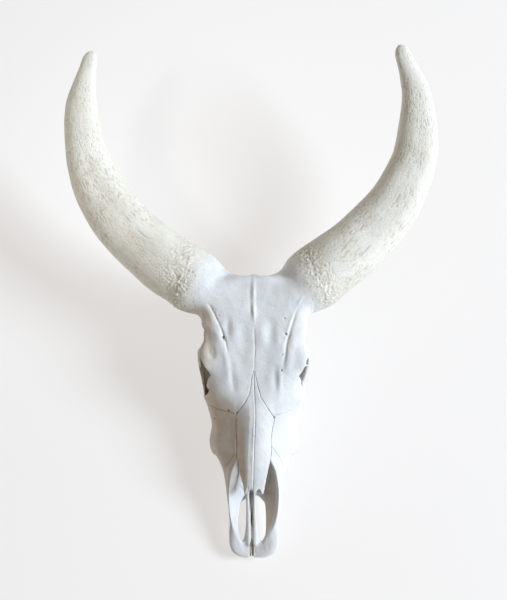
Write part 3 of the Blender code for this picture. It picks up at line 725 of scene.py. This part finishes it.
def seam_limit(field, side):
    """Ends the cranium inside the horn core, just past the burr."""
    x, ahead, up = field.places()
    base, onward = horn_base(side)
    past = (x - base[0]) * onward[0] + (ahead - base[1]) * onward[1] + (up - base[2]) * onward[2]
    return (past - 7).astype(np.float32)


def burr_texture(points, side):
    """Height of the rough bone round the burr, and how deep in a crevice each point is, from 0 to 1."""
    reach = burr_reach(side, points)
    rough = np.exp(-(np.maximum(reach - 4, 0) / 22) ** 2 - (np.minimum(reach - 4, 0) / 17) ** 2)
    near = ramp(reach, -46, -18) * ramp(reach, 90, 20)
    winding = noise(points, 5.6, 31)
    second = noise(points, 3.9, 47)
    crevice = np.maximum(np.exp(-(winding / 0.2) ** 2), 0.8 * np.exp(-(second / 0.18) ** 2))
    nodules = layered_noise(points, 5.5, 60, 2)
    pits = ramp(noise(points, 3.0, 71), 0.4, 0.75) * near
    height = rough * (0.8 * nodules + 0.8 - 1.5 * crevice) - 0.7 * pits
    return height, np.clip(rough * crevice * 0.75 + 0.7 * pits, 0, 1)


def nasal_zone(field):
    """The distance from the outlines of both nasal bones, widened by the open suture."""
    x, ahead, _ = field.places()
    x, ahead = x[:, :, 0], ahead[:, :, 0]
    gaps = [outline_distance(nasal_outline(side), x, ahead) for side in SIDES]
    margin = 0.7 * ramp(ahead, 164, 188) - 0.6 + 0.4 * ramp(ahead, 264, 248) * ramp(ahead, 190, 240)
    return (np.minimum(*gaps) - margin).astype(np.float32)[:, :, None]


def carved_skull(closed):
    """The closed skull with its relief, and the same with all its openings cut."""
    x, ahead, up = closed.places()
    rise = relief(x[:, :, 0], ahead[:, :, 0]).astype(np.float32)[:, :, None]
    whole = closed.alike(closed.values - rise * ramp(up, -50, -20))
    opened = whole.alike(whole.values.copy())
    open_up(opened)
    for px, pa, radius, depth, lean in FORAMINA:
        column = whole.values[int((px - x[0, 0, 0]) / STEP), int((pa - ahead[0, 0, 0]) / STEP)]
        top = whole.axes[2][np.nonzero(column < 0)[0].max()]
        opened.cut(tube([(px, pa - lean * 0.5, top + 3), (px, pa, top - 1), (px, pa + lean, top - depth)],
                        [radius * 1.25, radius, radius * 0.6], steps=1), 1.6)
    return whole, opened


def nasal_bone(whole, side):
    """A nasal bone: a thin shell with a forked front end."""
    shell = whole.part((-44, 170, -60), (44, 396, 8))
    x, ahead, _ = shell.places()
    outline = outline_distance(nasal_outline(side), x[:, :, 0], ahead[:, :, 0])
    thickness = (2.4 + (NASAL_THICKNESS - 2.4) * ramp(ahead, 392, 350)).astype(np.float32)
    fall = shoulder_fall(side, x - middle_at(ahead)) * ramp(ahead, 326, 352)
    fall = fall + NASAL_DIP * ramp(ahead, 322, 385)
    shell.values = shell.values + fall.astype(np.float32)
    inner = -(shell.values + thickness)
    shell.values = smooth_max(smooth_max(shell.values, inner, 1.2),
                              outline.astype(np.float32)[:, :, None] + 0 * inner, 1.1)
    return shell


def bone_fields(whole, opened):
    """The field of each bone, by the name of its node."""
    zone = nasal_zone(opened)
    depth = np.float32(NASAL_THICKNESS + 0.4)
    recess = smooth_max(zone + 0 * whole.values, -(whole.values + depth), 0.6)
    opened.values = smooth_max(opened.values, -recess, 0.7)
    opened.cut(tube([(x, a, -2) for x, a in OPEN_SUTURE], [0.9, 1.5]), 1.0)
    half_gap = np.float32(BONE_GAP / 2)
    face = suture(FACE_SUTURE, 1.6, 201)
    front = suture(PREMAXILLA_SUTURE, 1.2, 211)
    back = opened.part((-160, -90, -216), (160, 300, 20))
    behind_face = face(*back.places()) + half_gap
    bones = {"cranium": split(back, behind_face, seam_limit(back, -1), seam_limit(back, 1))}
    muzzle = opened.part((-100, 200, -216), (100, 520, 20))
    past_face = half_gap - face(*muzzle.places())
    past_front = front(*muzzle.places())
    for side, name in SIDE_NAMES.items():
        half = side_limit(muzzle, side)
        bones[f"maxilla_{name}"] = split(muzzle, past_face, past_front + half_gap, half)
        bones[f"premaxilla_{name}"] = split(muzzle, half_gap - past_front, half)
        bones[f"nasal_{name}"] = nasal_bone(whole, side)
    return bones


# ---------------------------------------------------------------- meshes

REST = (Matrix.Translation(Vector((*REST_SHIFT, FLOOR_UNDER_POLL * math.cos(TILT))) * MM)
        @ Matrix.Rotation(TILT, 4, "X"))
ON_FLOOR = Matrix.Identity(4)


def placed(name, data):
    """A new object in the scene."""
    thing = bpy.data.objects.new(name, data)
    bpy.context.collection.objects.link(thing)
    return thing


def make_piece(name, points, faces, finish, nodes, slot, frame_of=REST, **attributes):
    """A piece from points (x, ahead, up), lists of faces, and each attribute's values at the points."""
    turn = np.array(frame_of)
    world = (points * (MM, -MM, MM)) @ turn[:3, :3].T + turn[:3, 3]
    mesh = bpy.data.meshes.new(name)
    mesh.from_pydata(world, [], [face for kind in faces for face in kind[:, ::-1].tolist()])
    mesh.shade_smooth()
    mesh.materials.append(finish)
    for key, values in attributes.items():
        mesh.attributes.new(key, "FLOAT", "POINT").data.foreach_set("value", values.astype(np.float32))
    piece = placed(name, mesh)
    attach(piece, "root")
    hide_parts(*nodes)
    return piece


def point_normals(points, faces):
    """Unit vectors that point out of a surface at its points."""
    first, second, third, fourth = (points[faces[:, i]] for i in range(4))
    across = np.cross(third - first, fourth - second)
    total = np.stack([np.bincount(faces.ravel(), np.repeat(across[:, i], 4), len(points))
                      for i in range(3)], axis=1)
    return total / (np.linalg.norm(total, axis=1, keepdims=True) + 1e-9)


def painted_hollow_shade(x, ahead, up, inside_by):
    """Painted shade: how dark brown the hollows are painted where shade falls in them, the sockets, most
    of all the left, the nose and the floor of the muzzle's slit.
    """
    socket = ramp(SOCKET_SHADE_ZONE.distance(np.abs(x), ahead, up), 6, -6) * np.where(x < 0, 1, 0.4)
    depth = ramp(inside_by, 3, 16)
    deep = np.maximum(ramp(np.abs(inside_by), 1, 3) * ramp(up, -20, -45), ramp(up, -62, -75))
    slit = ramp(np.abs(x + 4.4), 5, 3.4) * ramp(ahead, 384, 392) * ramp(up, -50, -55)
    return np.clip(depth * (0.25 * ramp(ahead, 330, 290) + 0.75 * socket) + socket * deep + slit, 0, 1)


def warm_cast(x, ahead, up, inside_by, beside_nose):
    """How tan the bone is painted: warm painted shade on the shaded left of the face, the left temple and
    the nose's right wall, and a tan low down and, faintly, on the muzzle's end and the right cheek.
    """
    # Warm painted shade on the left of the face, which lies in shade.
    left_face_shade = ramp(x, -9, -19) * ramp(ahead - 1.1 * (x + 77), 168, 222)
    left_face_shade = left_face_shade * ramp(ahead, 420, 370) * ramp(-up, 4, 12)
    if beside_nose:
        rim = np.interp(ahead, NOSE_AHEAD, NOSE_LEFT)
        left_face_shade = left_face_shade * (1 - ramp(x - rim, -1, 2) * ramp(ahead, 318, 330))
    temple_shade = ramp(x, -62, -80) * ramp(ahead, 46, 66) * ramp(ahead, 175, 140)
    # Warm painted shade on the nose's right inner wall, which lies in shade.
    right_wall_shade = ramp(inside_by, 3, 16) * ramp(x, 8, 20) * ramp(ahead, 300, 330) * ramp(ahead, 474, 452)
    # A faint tan on the muzzle's end and the right cheek.
    front_right_tan = np.maximum(ramp(ahead, 390, 440), ramp(x, 14, 40) * ramp(ahead, 240, 290))
    low_down = ramp(up, -88, -120)
    return np.clip(left_face_shade + 0.75 * temple_shade + 0.7 * right_wall_shade + 0.6 * low_down + 0.13 * front_right_tan, 0, 1)


def bone_piece(name, field, closed, finish):
    """A bone meshed from its field, with the fine unevenness and pores of bare bone."""
    points, faces = field.surface()
    out = point_normals(points, faces)
    inside_by = -closed.sample(points)
    # Dark brown painted shade in the hollows, kept at the points for the colour.
    hollow = painted_hollow_shade(*points.T, inside_by)
    # Warm painted shade on shaded faces, with some tan, kept at the points for the colour.
    warm = warm_cast(*points.T, inside_by, beside_nose=not name.startswith("nasal"))
    worn_side = ramp(-points[:, 2], 55, 95)
    pores = ramp(noise(points, 3.2, 121), 0.5, 0.85) * ramp(noise(points, 26, 131), 0, 0.5) * worn_side
    rise = 0.16 * layered_noise(points, 11, 141) - 0.5 * pores
    burr = np.zeros(len(points))
    if name == "cranium":
        for side in SIDES:
            near = np.nonzero(burr_reach(side, points) > -46)[0]
            height, pit = burr_texture(points[near], side)
            rise[near] += height
            pores[near] = np.maximum(pores[near], pit)
            burr[near] = ramp(burr_reach(side, points[near]), -40, -6)
    points = points + out * rise[:, None]
    return make_piece(name, points, [faces], finish, [name], "bone", hollow=hollow, warm=warm, pit=pores,
                      burr=burr)


# ---------------------------------------------------------------- horn cores

HORN_ROOT = 14
HORN_FLATNESS = 0.14
HORN_SQUARENESS = 2.4
# A swelling on the inner side of the left horn core: its place ahead, its reach and its strength.
LEFT_SWELL = (-110, 52, 4.2)
# Keeps the noise on the right horn core apart from that on the left one.
HORNS_APART = 1400
# Grooves that vessels left on the upper faces of the horn cores, in plan.
VESSEL_GROOVES = {
    -1: [[(-242, -152), (-244, -138)], [(-212, -86), (-196, -72), (-184, -64)],
         [(-268, -196), (-262, -178)]],
    1: [[(178, -72), (161, -54), (150, -38)], [(209, -58), (196, -44), (184, -32)],
        [(262, -150), (250, -130)], [(196, -94), (186, -80)]],
}


def unit(vectors):
    return vectors / np.linalg.norm(vectors, axis=-1, keepdims=True)


def horn_axis(side, rings):
    """How far along a horn core each ring is, the rings' middles, the whole length and the tip."""
    axis = through(HORN_AXES[side], 241)
    axis = np.concatenate([[axis[0] - unit(axis[1] - axis[0]) * HORN_ROOT], axis])
    steps = np.linalg.norm(np.diff(axis, axis=0), axis=1)
    travelled = np.concatenate([[0], np.cumsum(steps)]) - HORN_ROOT
    length = travelled[-1]
    share = np.linspace(0, 1, rings, endpoint=False)
    s = length - (length + HORN_ROOT) * (1 - share) ** 1.15
    centre = np.stack([np.interp(s, travelled, axis[:, i]) for i in range(3)], axis=1)
    centre[1:-1] = (centre[:-2] + 2 * centre[1:-1] + centre[2:]) / 4
    return s, centre, length, axis[-1]


def horn_radius(s, length):
    """The radius at places along a horn core, drawn in at the root and blunt at the tip."""
    radius = HORN_RADIUS * (1 - (np.maximum(s, 0) / length) ** HORN_TAPER_START) ** HORN_TAPER_END
    radius = radius - 1.5 * ramp(s, 4, -HORN_ROOT)
    left = length - s
    return radius + HORN_TIP_BLUNTNESS * np.exp(-((left - 12) / 14) ** 2) * ramp(left, 0, 5)


def horn_texture(side, straight, points, way):
    """The flutes, lumps and pits of a horn core; straight holds its points as if it were unbent."""
    flutes = noise(straight * (1, 1, 0.13), 12, 301) + 0.5 * noise(straight * (1, 1, 0.2), 6, 311)
    lumps = noise(straight, 48, 321) + 0.4 * noise(straight, 21, 331)
    long_pits = ramp(noise(straight * (1, 1, 0.36), 2.2, 341), 0.12, 0.72)
    short_pits = ramp(noise(straight * (1, 1, 0.5), 1.8, 351), 0.2, 0.75)
    where = 0.45 + 0.55 * ramp(noise(straight, 30, 361), -0.4, 0.4)
    pits = np.maximum(long_pits, 0.8 * short_pits) * where
    upper = ramp(way[..., 2], 0, 0.4)
    for line in VESSEL_GROOVES[side]:
        gap, along = line_distance(line, points[..., 0], points[..., 1])
        groove = np.exp(-(gap / 1.5) ** 2) * ramp(along, 0, 0.3) * ramp(along, 1, 0.8) * upper
        pits = np.maximum(pits, 1.5 * groove)
    return flutes, lumps, pits


def swept_faces(rings, around):
    """The four-sided faces between rings of points, and the three-sided ones that close the tip."""
    ring = np.arange(rings - 1)[:, None] * around
    step = np.arange(around)
    following = (step + 1) % around
    corners = [ring + step, ring + following, ring + around + following, ring + around + step]
    last = (rings - 1) * around
    cap = [last + step, last + following, np.full(around, rings * around)]
    return [np.stack(corners, axis=-1).reshape(-1, 4), np.stack(cap, axis=-1)]


def horn_core(side, finish):
    """A horn core: a bent, tapering surface with flutes, lengthwise pits and a rough burr."""
    rings, around = int(450 * FINE), int(300 * FINE)
    s, centre, length, tip = horn_axis(side, rings)
    tangent = unit(np.gradient(centre, s, axis=0))
    level = unit(np.cross(tangent, (0, 0, 1)))
    upright = np.cross(level, tangent)
    angle = np.linspace(0, 2 * math.pi, around, endpoint=False)
    across, over = np.cos(angle), np.sin(angle)
    way = across[:, None] * level[:, None] + over[:, None] * upright[:, None]
    radius = horn_radius(s, length)[:, None]
    straight = np.stack(np.broadcast_arrays(radius * across, radius * over,
                                            s[:, None] + HORNS_APART * (side > 0)), axis=-1)
    oval_share = ramp(s, 10, 120)[:, None]
    squashed = over / (1 - oval_share * HORN_FLATNESS)
    oval = (np.abs(across) ** HORN_SQUARENESS
            + np.abs(squashed) ** HORN_SQUARENESS) ** (-1 / HORN_SQUARENESS)
    oval = 1 + (oval - 1) * oval_share
    points = centre[:, None] + (radius * oval)[..., None] * way
    flutes, lumps, pits = horn_texture(side, straight, points, way)
    if side < 0:
        place, reach, swell = LEFT_SWELL
        near = np.exp(-((centre[:, 1:2] - place) / reach) ** 2)
        lumps = lumps + swell / 1.3 * near * ramp(way[..., 0], 0, 1)
    height, crevice = burr_texture(points, side)
    slender = np.minimum(radius / 20, 1)
    rise = slender * (0.33 * flutes + 1.2 * lumps - 0.5 * pits) + height
    points = np.concatenate([(points + way * rise[..., None]).reshape(-1, 3), [tip]])
    pit = np.append(np.clip(np.maximum(pits, crevice), 0, 1), 0)
    name = f"horn_core_{SIDE_NAMES[side]}"
    return make_piece(name, points, swept_faces(rings, around), finish, [name], "horn_core", pit=pit)


# ---------------------------------------------------------------- teeth

# Length along the row and width of each cheek tooth, from the front, and where the row stands. The
# first three have one lobe each, and the others two.
TEETH = [(15, 17), (16, 19), (18, 20), (24, 23), (27, 24), (28, 23)]
PREMOLARS = 3
ROW_FRONT = (41, 350)
ROW_BACK = (57, 222)
TOOTH_HEIGHT = 33
TOOTH_SQUARENESS = 2.3


def tooth_shapes(number, x, along, side):
    """A tooth's lobes and its ribs on the cheek side, and the crescents worn into its face."""
    length, width = TEETH[number][0] - 0.8, TEETH[number][1] - 1.5
    lobes = 1 if number < PREMOLARS else 2
    solids, hollows = [], []
    for lobe in range(lobes):
        place = along + (lobe - (lobes - 1) / 2) * length / lobes
        solids.append(upright_bar(x, place, (width / 2, length / lobes / 2)))
        bend = [(x + side * out, place + shift, 0) for out, shift in
                ((2.2, -0.36 * length / lobes), (-1.6, 0), (2.2, 0.36 * length / lobes))]
        hollows.append(tube(bend, [0.9, 1.1]))
    for rib in range(lobes + 1):
        place = along + (rib / lobes - 0.5) * (length - 2.4)
        solids.append(upright_bar(x + side * (width / 2 - 1.3), place, (1.9, 1.5)))
    return solids, hollows


def upright_bar(x, along, half_sizes):
    """A bar that stands on the floor, with an oval section."""
    a, b = half_sizes

    def distance(px, pa, up):
        across, length = np.abs((px - np.float32(x)) / a), np.abs((pa - np.float32(along)) / b)
        scaled = (across**TOOTH_SQUARENESS + length**TOOTH_SQUARENESS) ** (1 / TOOTH_SQUARENESS)
        gap = (scaled - 1) * min(a, b)
        past_end = np.abs(up - TOOTH_HEIGHT / 2) - TOOTH_HEIGHT / 2
        return smooth_max(gap + 0 * up, past_end + 0 * gap, 1.6)

    return Shape(distance, (x - a, along - b, 0), (x + a, along + b, TOOTH_HEIGHT))


def tooth_row(side, finish):
    """The cheek teeth of one side, which stand square on the floor."""
    row_length = sum(length for length, _ in TEETH)
    centres = []
    used = 0
    for length, _ in TEETH:
        middle = used + length / 2
        x, ahead = (front + (back - front) * middle / row_length
                    for front, back in zip(ROW_FRONT, ROW_BACK))
        used += length
        place = REST @ (Vector((side * x, -ahead, math.tan(TILT) * ahead - FLOOR_UNDER_POLL)) * MM)
        centres.append((place.x / MM, -place.y / MM))
    low = (min(x for x, _ in centres) - 16, centres[-1][1] - 18, -4)
    high = (max(x for x, _ in centres) + 16, centres[0][1] + 14, TOOTH_HEIGHT + 4)
    row = Field(low, high)
    for number, (x, along) in enumerate(centres):
        tooth = Field(low, high)
        solids, hollows = tooth_shapes(number, x, along, side)
        for solid in solids:
            tooth.add(solid, 1.1)
        for hollow in hollows:
            tooth.cut(hollow, 0.8)
        row.values = np.minimum(row.values, tooth.values)
    points, faces = row.surface()
    out = point_normals(points, faces)
    streaks = noise(points * (1, 1, 0.2), 2.4, 401)
    points = points + out * (0.16 * streaks * ramp(points[:, 2], 0.5, 4))[:, None]
    crown = ramp(points[:, 2], 26, 6)
    name = SIDE_NAMES[side]
    return make_piece(f"teeth_{name}", points, [faces], finish, [f"maxilla_{name}"], "bone", ON_FLOOR,
                      crown=crown, worn=ramp(points[:, 2], 2.5, 0.5), pit=ramp(-streaks, 0.2, 0.9))


# ---------------------------------------------------------------- materials

class Nodes:
    """Adds nodes to a tree. A value that goes into one is an output of another or a plain value."""

    def __init__(self, tree):
        self.tree = tree

    def add(self, kind, inputs=(), **settings):
        node = self.tree.nodes.new(kind)
        for key, value in settings.items():
            setattr(node, key, value)
        for key, value in dict(inputs).items():
            self.join(value, node.inputs[key])
        return node

    def join(self, value, socket):
        if isinstance(value, bpy.types.NodeSocket):
            self.tree.links.new(value, socket)
        else:
            socket.default_value = value

    def levels(self, value, low, high, first=0.0, second=1.0):
        """A value's range from low to high, taken evenly to the range from first to second."""
        return self.add("ShaderNodeMapRange", {"Value": value, "From Min": low, "From Max": high,
                                               "To Min": first, "To Max": second}).outputs["Result"]

    def work(self, operation, a, b):
        return self.add("ShaderNodeMath", {0: a, 1: b}, operation=operation).outputs[0]

    def blend(self, share, a, b):
        """A share of the way from one colour to another; each is an output or three numbers."""
        a, b = (c if isinstance(c, bpy.types.NodeSocket) else (*c, 1) for c in (a, b))
        return self.add("ShaderNodeMix", {0: share, 6: a, 7: b}, data_type="RGBA").outputs[2]


class Finish(Nodes):
    """A material in the making."""

    def __init__(self, name, specular):
        self.material = bpy.data.materials.new(name)
        self.material.use_nodes = True
        super().__init__(self.material.node_tree)
        self.shader = self.tree.nodes["Principled BSDF"]
        self.shader.inputs["Specular IOR Level"].default_value = specular
        self.place = self.add("ShaderNodeTexCoord").outputs["Object"]

    def attribute(self, name):
        return self.add("ShaderNodeAttribute", attribute_name=name).outputs["Fac"]

    def stretched(self, share):
        """Places scaled by a share along each axis, which draws noise out where the share is small."""
        return self.add("ShaderNodeMapping", {"Vector": self.place, "Scale": share}).outputs["Vector"]

    def noise(self, size, detail, where=None):
        """Noise with features of a size in millimetres."""
        return self.add("ShaderNodeTexNoise", {"Vector": where or self.place, "Scale": 1 / (size * MM),
                                               "Detail": detail}).outputs["Fac"]

    def done(self, colour, roughness, bumps):
        """Joins the outputs to the shader; each bump is a height and its depth in millimetres."""
        self.join(colour, self.shader.inputs["Base Color"])
        self.join(roughness, self.shader.inputs["Roughness"])
        normal = None
        for height, depth in bumps:
            bump = self.add("ShaderNodeBump", {"Height": height, "Distance": depth * MM})
            if normal:
                self.join(normal, bump.inputs["Normal"])
            normal = bump.outputs["Normal"]
        self.join(normal, self.shader.inputs["Normal"])
        return self.material


BONE_WHITE = (0.705, 0.73, 0.735)
BONE_CHALK = (0.785, 0.80, 0.79)
BONE_WARM = (0.66, 0.60, 0.49)
# The tan of the warm painted shade, which also gives the tan low down.
BONE_TAN = (0.60, 0.495, 0.39)
# The dark brown of the painted shade in the hollows.
HOLLOW_SHADE_BROWN = (0.27, 0.20, 0.125)
PIT_BROWN = (0.25, 0.185, 0.115)
IVORY = (0.855, 0.84, 0.745)
IVORY_DARK = (0.775, 0.745, 0.635)
ENAMEL = (0.70, 0.66, 0.55)
TOOTH_STAIN = (0.16, 0.11, 0.065)
DENTINE = (0.43, 0.33, 0.22)
# The floor is a sheet that gives off a little light of its own, as a light table does.
FLOOR_SIZE = 12.0
FLOOR_GREYS = ((0.36, 0.355, 0.35), (0.38, 0.375, 0.37))
FLOOR_GLOW = 0.585
FLOOR_GLOW_COLOUR = (1.0, 0.985, 0.97, 1)


def bone_finish():
    f = Finish("bleached_bone", 0.35)
    hollow, warm, pit, burr = (f.attribute(key) for key in ("hollow", "warm", "pit", "burr"))
    cloud = f.noise(38, 4)
    colour = f.blend(f.levels(cloud, 0.38, 0.62), BONE_WHITE, BONE_CHALK)
    colour = f.blend(f.levels(f.noise(17, 5), 0.56, 0.76, 0, 0.22), colour, BONE_WARM)
    colour = f.blend(f.work("MULTIPLY", burr, 0.8), colour, IVORY)
    patches = f.levels(f.noise(22, 3), 0.3, 0.7, 0.6, 1)
    # Warm painted shade on the shaded left of the face, the temple and the nose's right wall, and a tan
    # low down.
    colour = f.blend(f.work("MULTIPLY", warm, patches), colour, BONE_TAN)
    # Dark brown painted shade in the hollows and the muzzle's slit.
    hollow_shade = f.work("MULTIPLY", f.levels(hollow, 0.1, 1, 0, 0.85), patches)
    colour = f.blend(hollow_shade, colour, HOLLOW_SHADE_BROWN)
    speck = f.work("MULTIPLY", f.levels(f.noise(1.6, 2), 0.6, 0.75, 0, 0.45), burr)
    colour = f.blend(f.work("MAXIMUM", f.work("MULTIPLY", pit, 0.6), speck), colour, PIT_BROWN)
    hairline = f.noise(0.9, 4, f.stretched((1, 0.18, 1)))
    roughness = f.levels(cloud, 0.3, 0.7, 0.5, 0.72)
    return f.done(colour, roughness, [(f.noise(4, 5), 0.5), (hairline, 0.25), (f.noise(0.7, 2), 0.12)])


def horn_finish():
    f = Finish("porous_horn_core", 0.3)
    pit = f.attribute("pit")
    cloud = f.noise(45, 4)
    colour = f.blend(f.levels(cloud, 0.35, 0.65), IVORY_DARK, IVORY)
    colour = f.blend(f.levels(f.noise(9, 5), 0.42, 0.7, 0, 0.5), colour, BONE_CHALK)
    speck = f.levels(f.noise(1.7, 3), 0.55, 0.72, 0, 0.24)
    colour = f.blend(f.work("MAXIMUM", f.work("MULTIPLY", pit, 0.34), speck), colour, PIT_BROWN)
    roughness = f.levels(cloud, 0.3, 0.7, 0.66, 0.85)
    return f.done(colour, roughness, [(f.noise(2.2, 4), 0.8), (f.noise(1.0, 3), 0.4)])


def tooth_finish():
    f = Finish("enamel_and_dentine", 0.45)
    crown, worn, pit = (f.attribute(key) for key in ("crown", "worn", "pit"))
    colour = f.blend(f.levels(f.noise(7, 4), 0.4, 0.65), ENAMEL, BONE_WARM)
    colour = f.blend(f.work("MULTIPLY", f.levels(pit, 0.1, 1, 0.1, 0.9), crown), colour, TOOTH_STAIN)
    bared = f.work("MULTIPLY", worn, f.levels(f.noise(3, 3), 0.4, 0.6, 0.3, 0.9))
    colour = f.blend(bared, colour, DENTINE)
    return f.done(colour, f.levels(f.noise(5, 3), 0.3, 0.7, 0.35, 0.6),
                  [(f.noise(1.2, 4, f.stretched((1, 1, 0.2))), 0.25)])


def floor_finish():
    f = Finish("pale_floor", 0.1)
    f.shader.inputs["Emission Color"].default_value = FLOOR_GLOW_COLOUR
    f.shader.inputs["Emission Strength"].default_value = FLOOR_GLOW
    return f.done(f.blend(f.noise(900, 2), *FLOOR_GREYS), 0.9, [(f.noise(40, 2), 0.05)])


# ---------------------------------------------------------------- studio

# The photo's height in pixels, the millimetres in a pixel, and how the camera looks at the face.
PHOTO_HEIGHT = 600
PIXEL = 1.77
SENSOR = 36
CAMERA_HEIGHT = 2.6
CAMERA_OVER = (-0.885, 42.48)
# The world is a room: its colours at the horizon and overhead, and the heights between which they blend.
HORIZON = (0.62, 0.60, 0.58)
CEILING = (0.17, 0.148, 0.125)
ROOM_BLEND = (0.04, 0.4)
# The soft lamps: azimuth, elevation, distance, size, power and colour. Azimuth 0 is at the picture's
# right and 90 at its top.
SOFT_LAMPS = {
    "window": (-3, 36, 7.8, 3.2, 680, (0.87, 0.96, 1.09)),
    "room": (110, 72, 2.6, 2.4, 6, (1.0, 0.93, 0.85)),
}
LAMP_AIM = Vector((0, 0, 0.1))
# The spot lamp over the left horn core, in the face frame: its aim, the way up to it and its distance.
SPOT_AIM = Vector((-300, 200, 0)) * MM
SPOT_WAY = Vector((-0.42, 0, 0.91))
SPOT_DISTANCE = 2.15
SPOT_WIDTH = 21
SPOT_POWER = 42
SPOT_COLOUR = (1.0, 0.99, 0.95)


def lights():
    """The soft lamps, and the spot lamp over the left horn core."""
    for name, (azimuth, elevation, distance, size, power, colour) in SOFT_LAMPS.items():
        lamp = bpy.data.lights.new(name, "AREA")
        lamp.shape = "DISK"
        lamp.size = size
        lamp.energy = power
        lamp.color = colour
        a, e = math.radians(azimuth), math.radians(elevation)
        way = Vector((math.cos(a) * math.cos(e), math.sin(a) * math.cos(e), math.sin(e)))
        light = placed(name, lamp)
        light.location = way * distance + LAMP_AIM
        light.rotation_euler = way.to_track_quat("Z", "Y").to_euler()
    spot = bpy.data.lights.new("left_horn", "SPOT")
    spot.energy = SPOT_POWER
    spot.color = SPOT_COLOUR
    spot.spot_size = math.radians(SPOT_WIDTH)
    spot.spot_blend = 1.0
    spot.shadow_soft_size = 0.2
    turn = SPOT_WAY.to_track_quat("Z", "Y").to_matrix().to_4x4()
    place = Matrix.Translation(SPOT_AIM + SPOT_WAY * SPOT_DISTANCE)
    placed("left_horn", spot).matrix_world = REST @ place @ turn


def room():
    """The world: a pale horizon under a dim ceiling."""
    world = bpy.data.worlds.new("studio")
    world.use_nodes = True
    nodes = Nodes(world.node_tree)
    direction = nodes.add("ShaderNodeTexCoord").outputs["Generated"]
    height = nodes.add("ShaderNodeSeparateXYZ", {0: direction}).outputs["Z"]
    shade = nodes.blend(nodes.levels(height, *ROOM_BLEND), HORIZON, CEILING)
    nodes.join(shade, world.node_tree.nodes["Background"].inputs["Color"])
    bpy.context.scene.world = world


def studio():
    """The floor, the lights, the room and the camera."""
    mesh = bpy.data.meshes.new("floor")
    half = FLOOR_SIZE / 2
    mesh.from_pydata([(-half, -half, 0), (half, -half, 0), (half, half, 0), (-half, half, 0)], [],
                     [(0, 1, 2, 3)])
    mesh.materials.append(floor_finish())
    floor = placed("floor", mesh)
    lights()
    room()
    bpy.context.scene.view_settings.view_transform = "Standard"
    data = bpy.data.cameras.new("camera")
    data.sensor_width = SENSOR
    data.lens = SENSOR * CAMERA_HEIGHT / (PHOTO_HEIGHT * PIXEL * MM)
    camera = placed("camera", data)
    x, ahead = CAMERA_OVER
    camera.matrix_world = REST @ Matrix.Translation((x * MM, -ahead * MM, CAMERA_HEIGHT))
    bpy.context.scene.camera = camera


def skull():
    """All the pieces of the skull."""
    closed = closed_skull()
    closed.even_out()
    whole, opened = carved_skull(closed)
    bone = bone_finish()
    for name, field in bone_fields(whole, opened).items():
        bone_piece(name, field, closed, bone)
    horn, tooth = horn_finish(), tooth_finish()
    for side in SIDES:
        horn_core(side, horn)
        tooth_row(side, tooth)


skull()
studio()
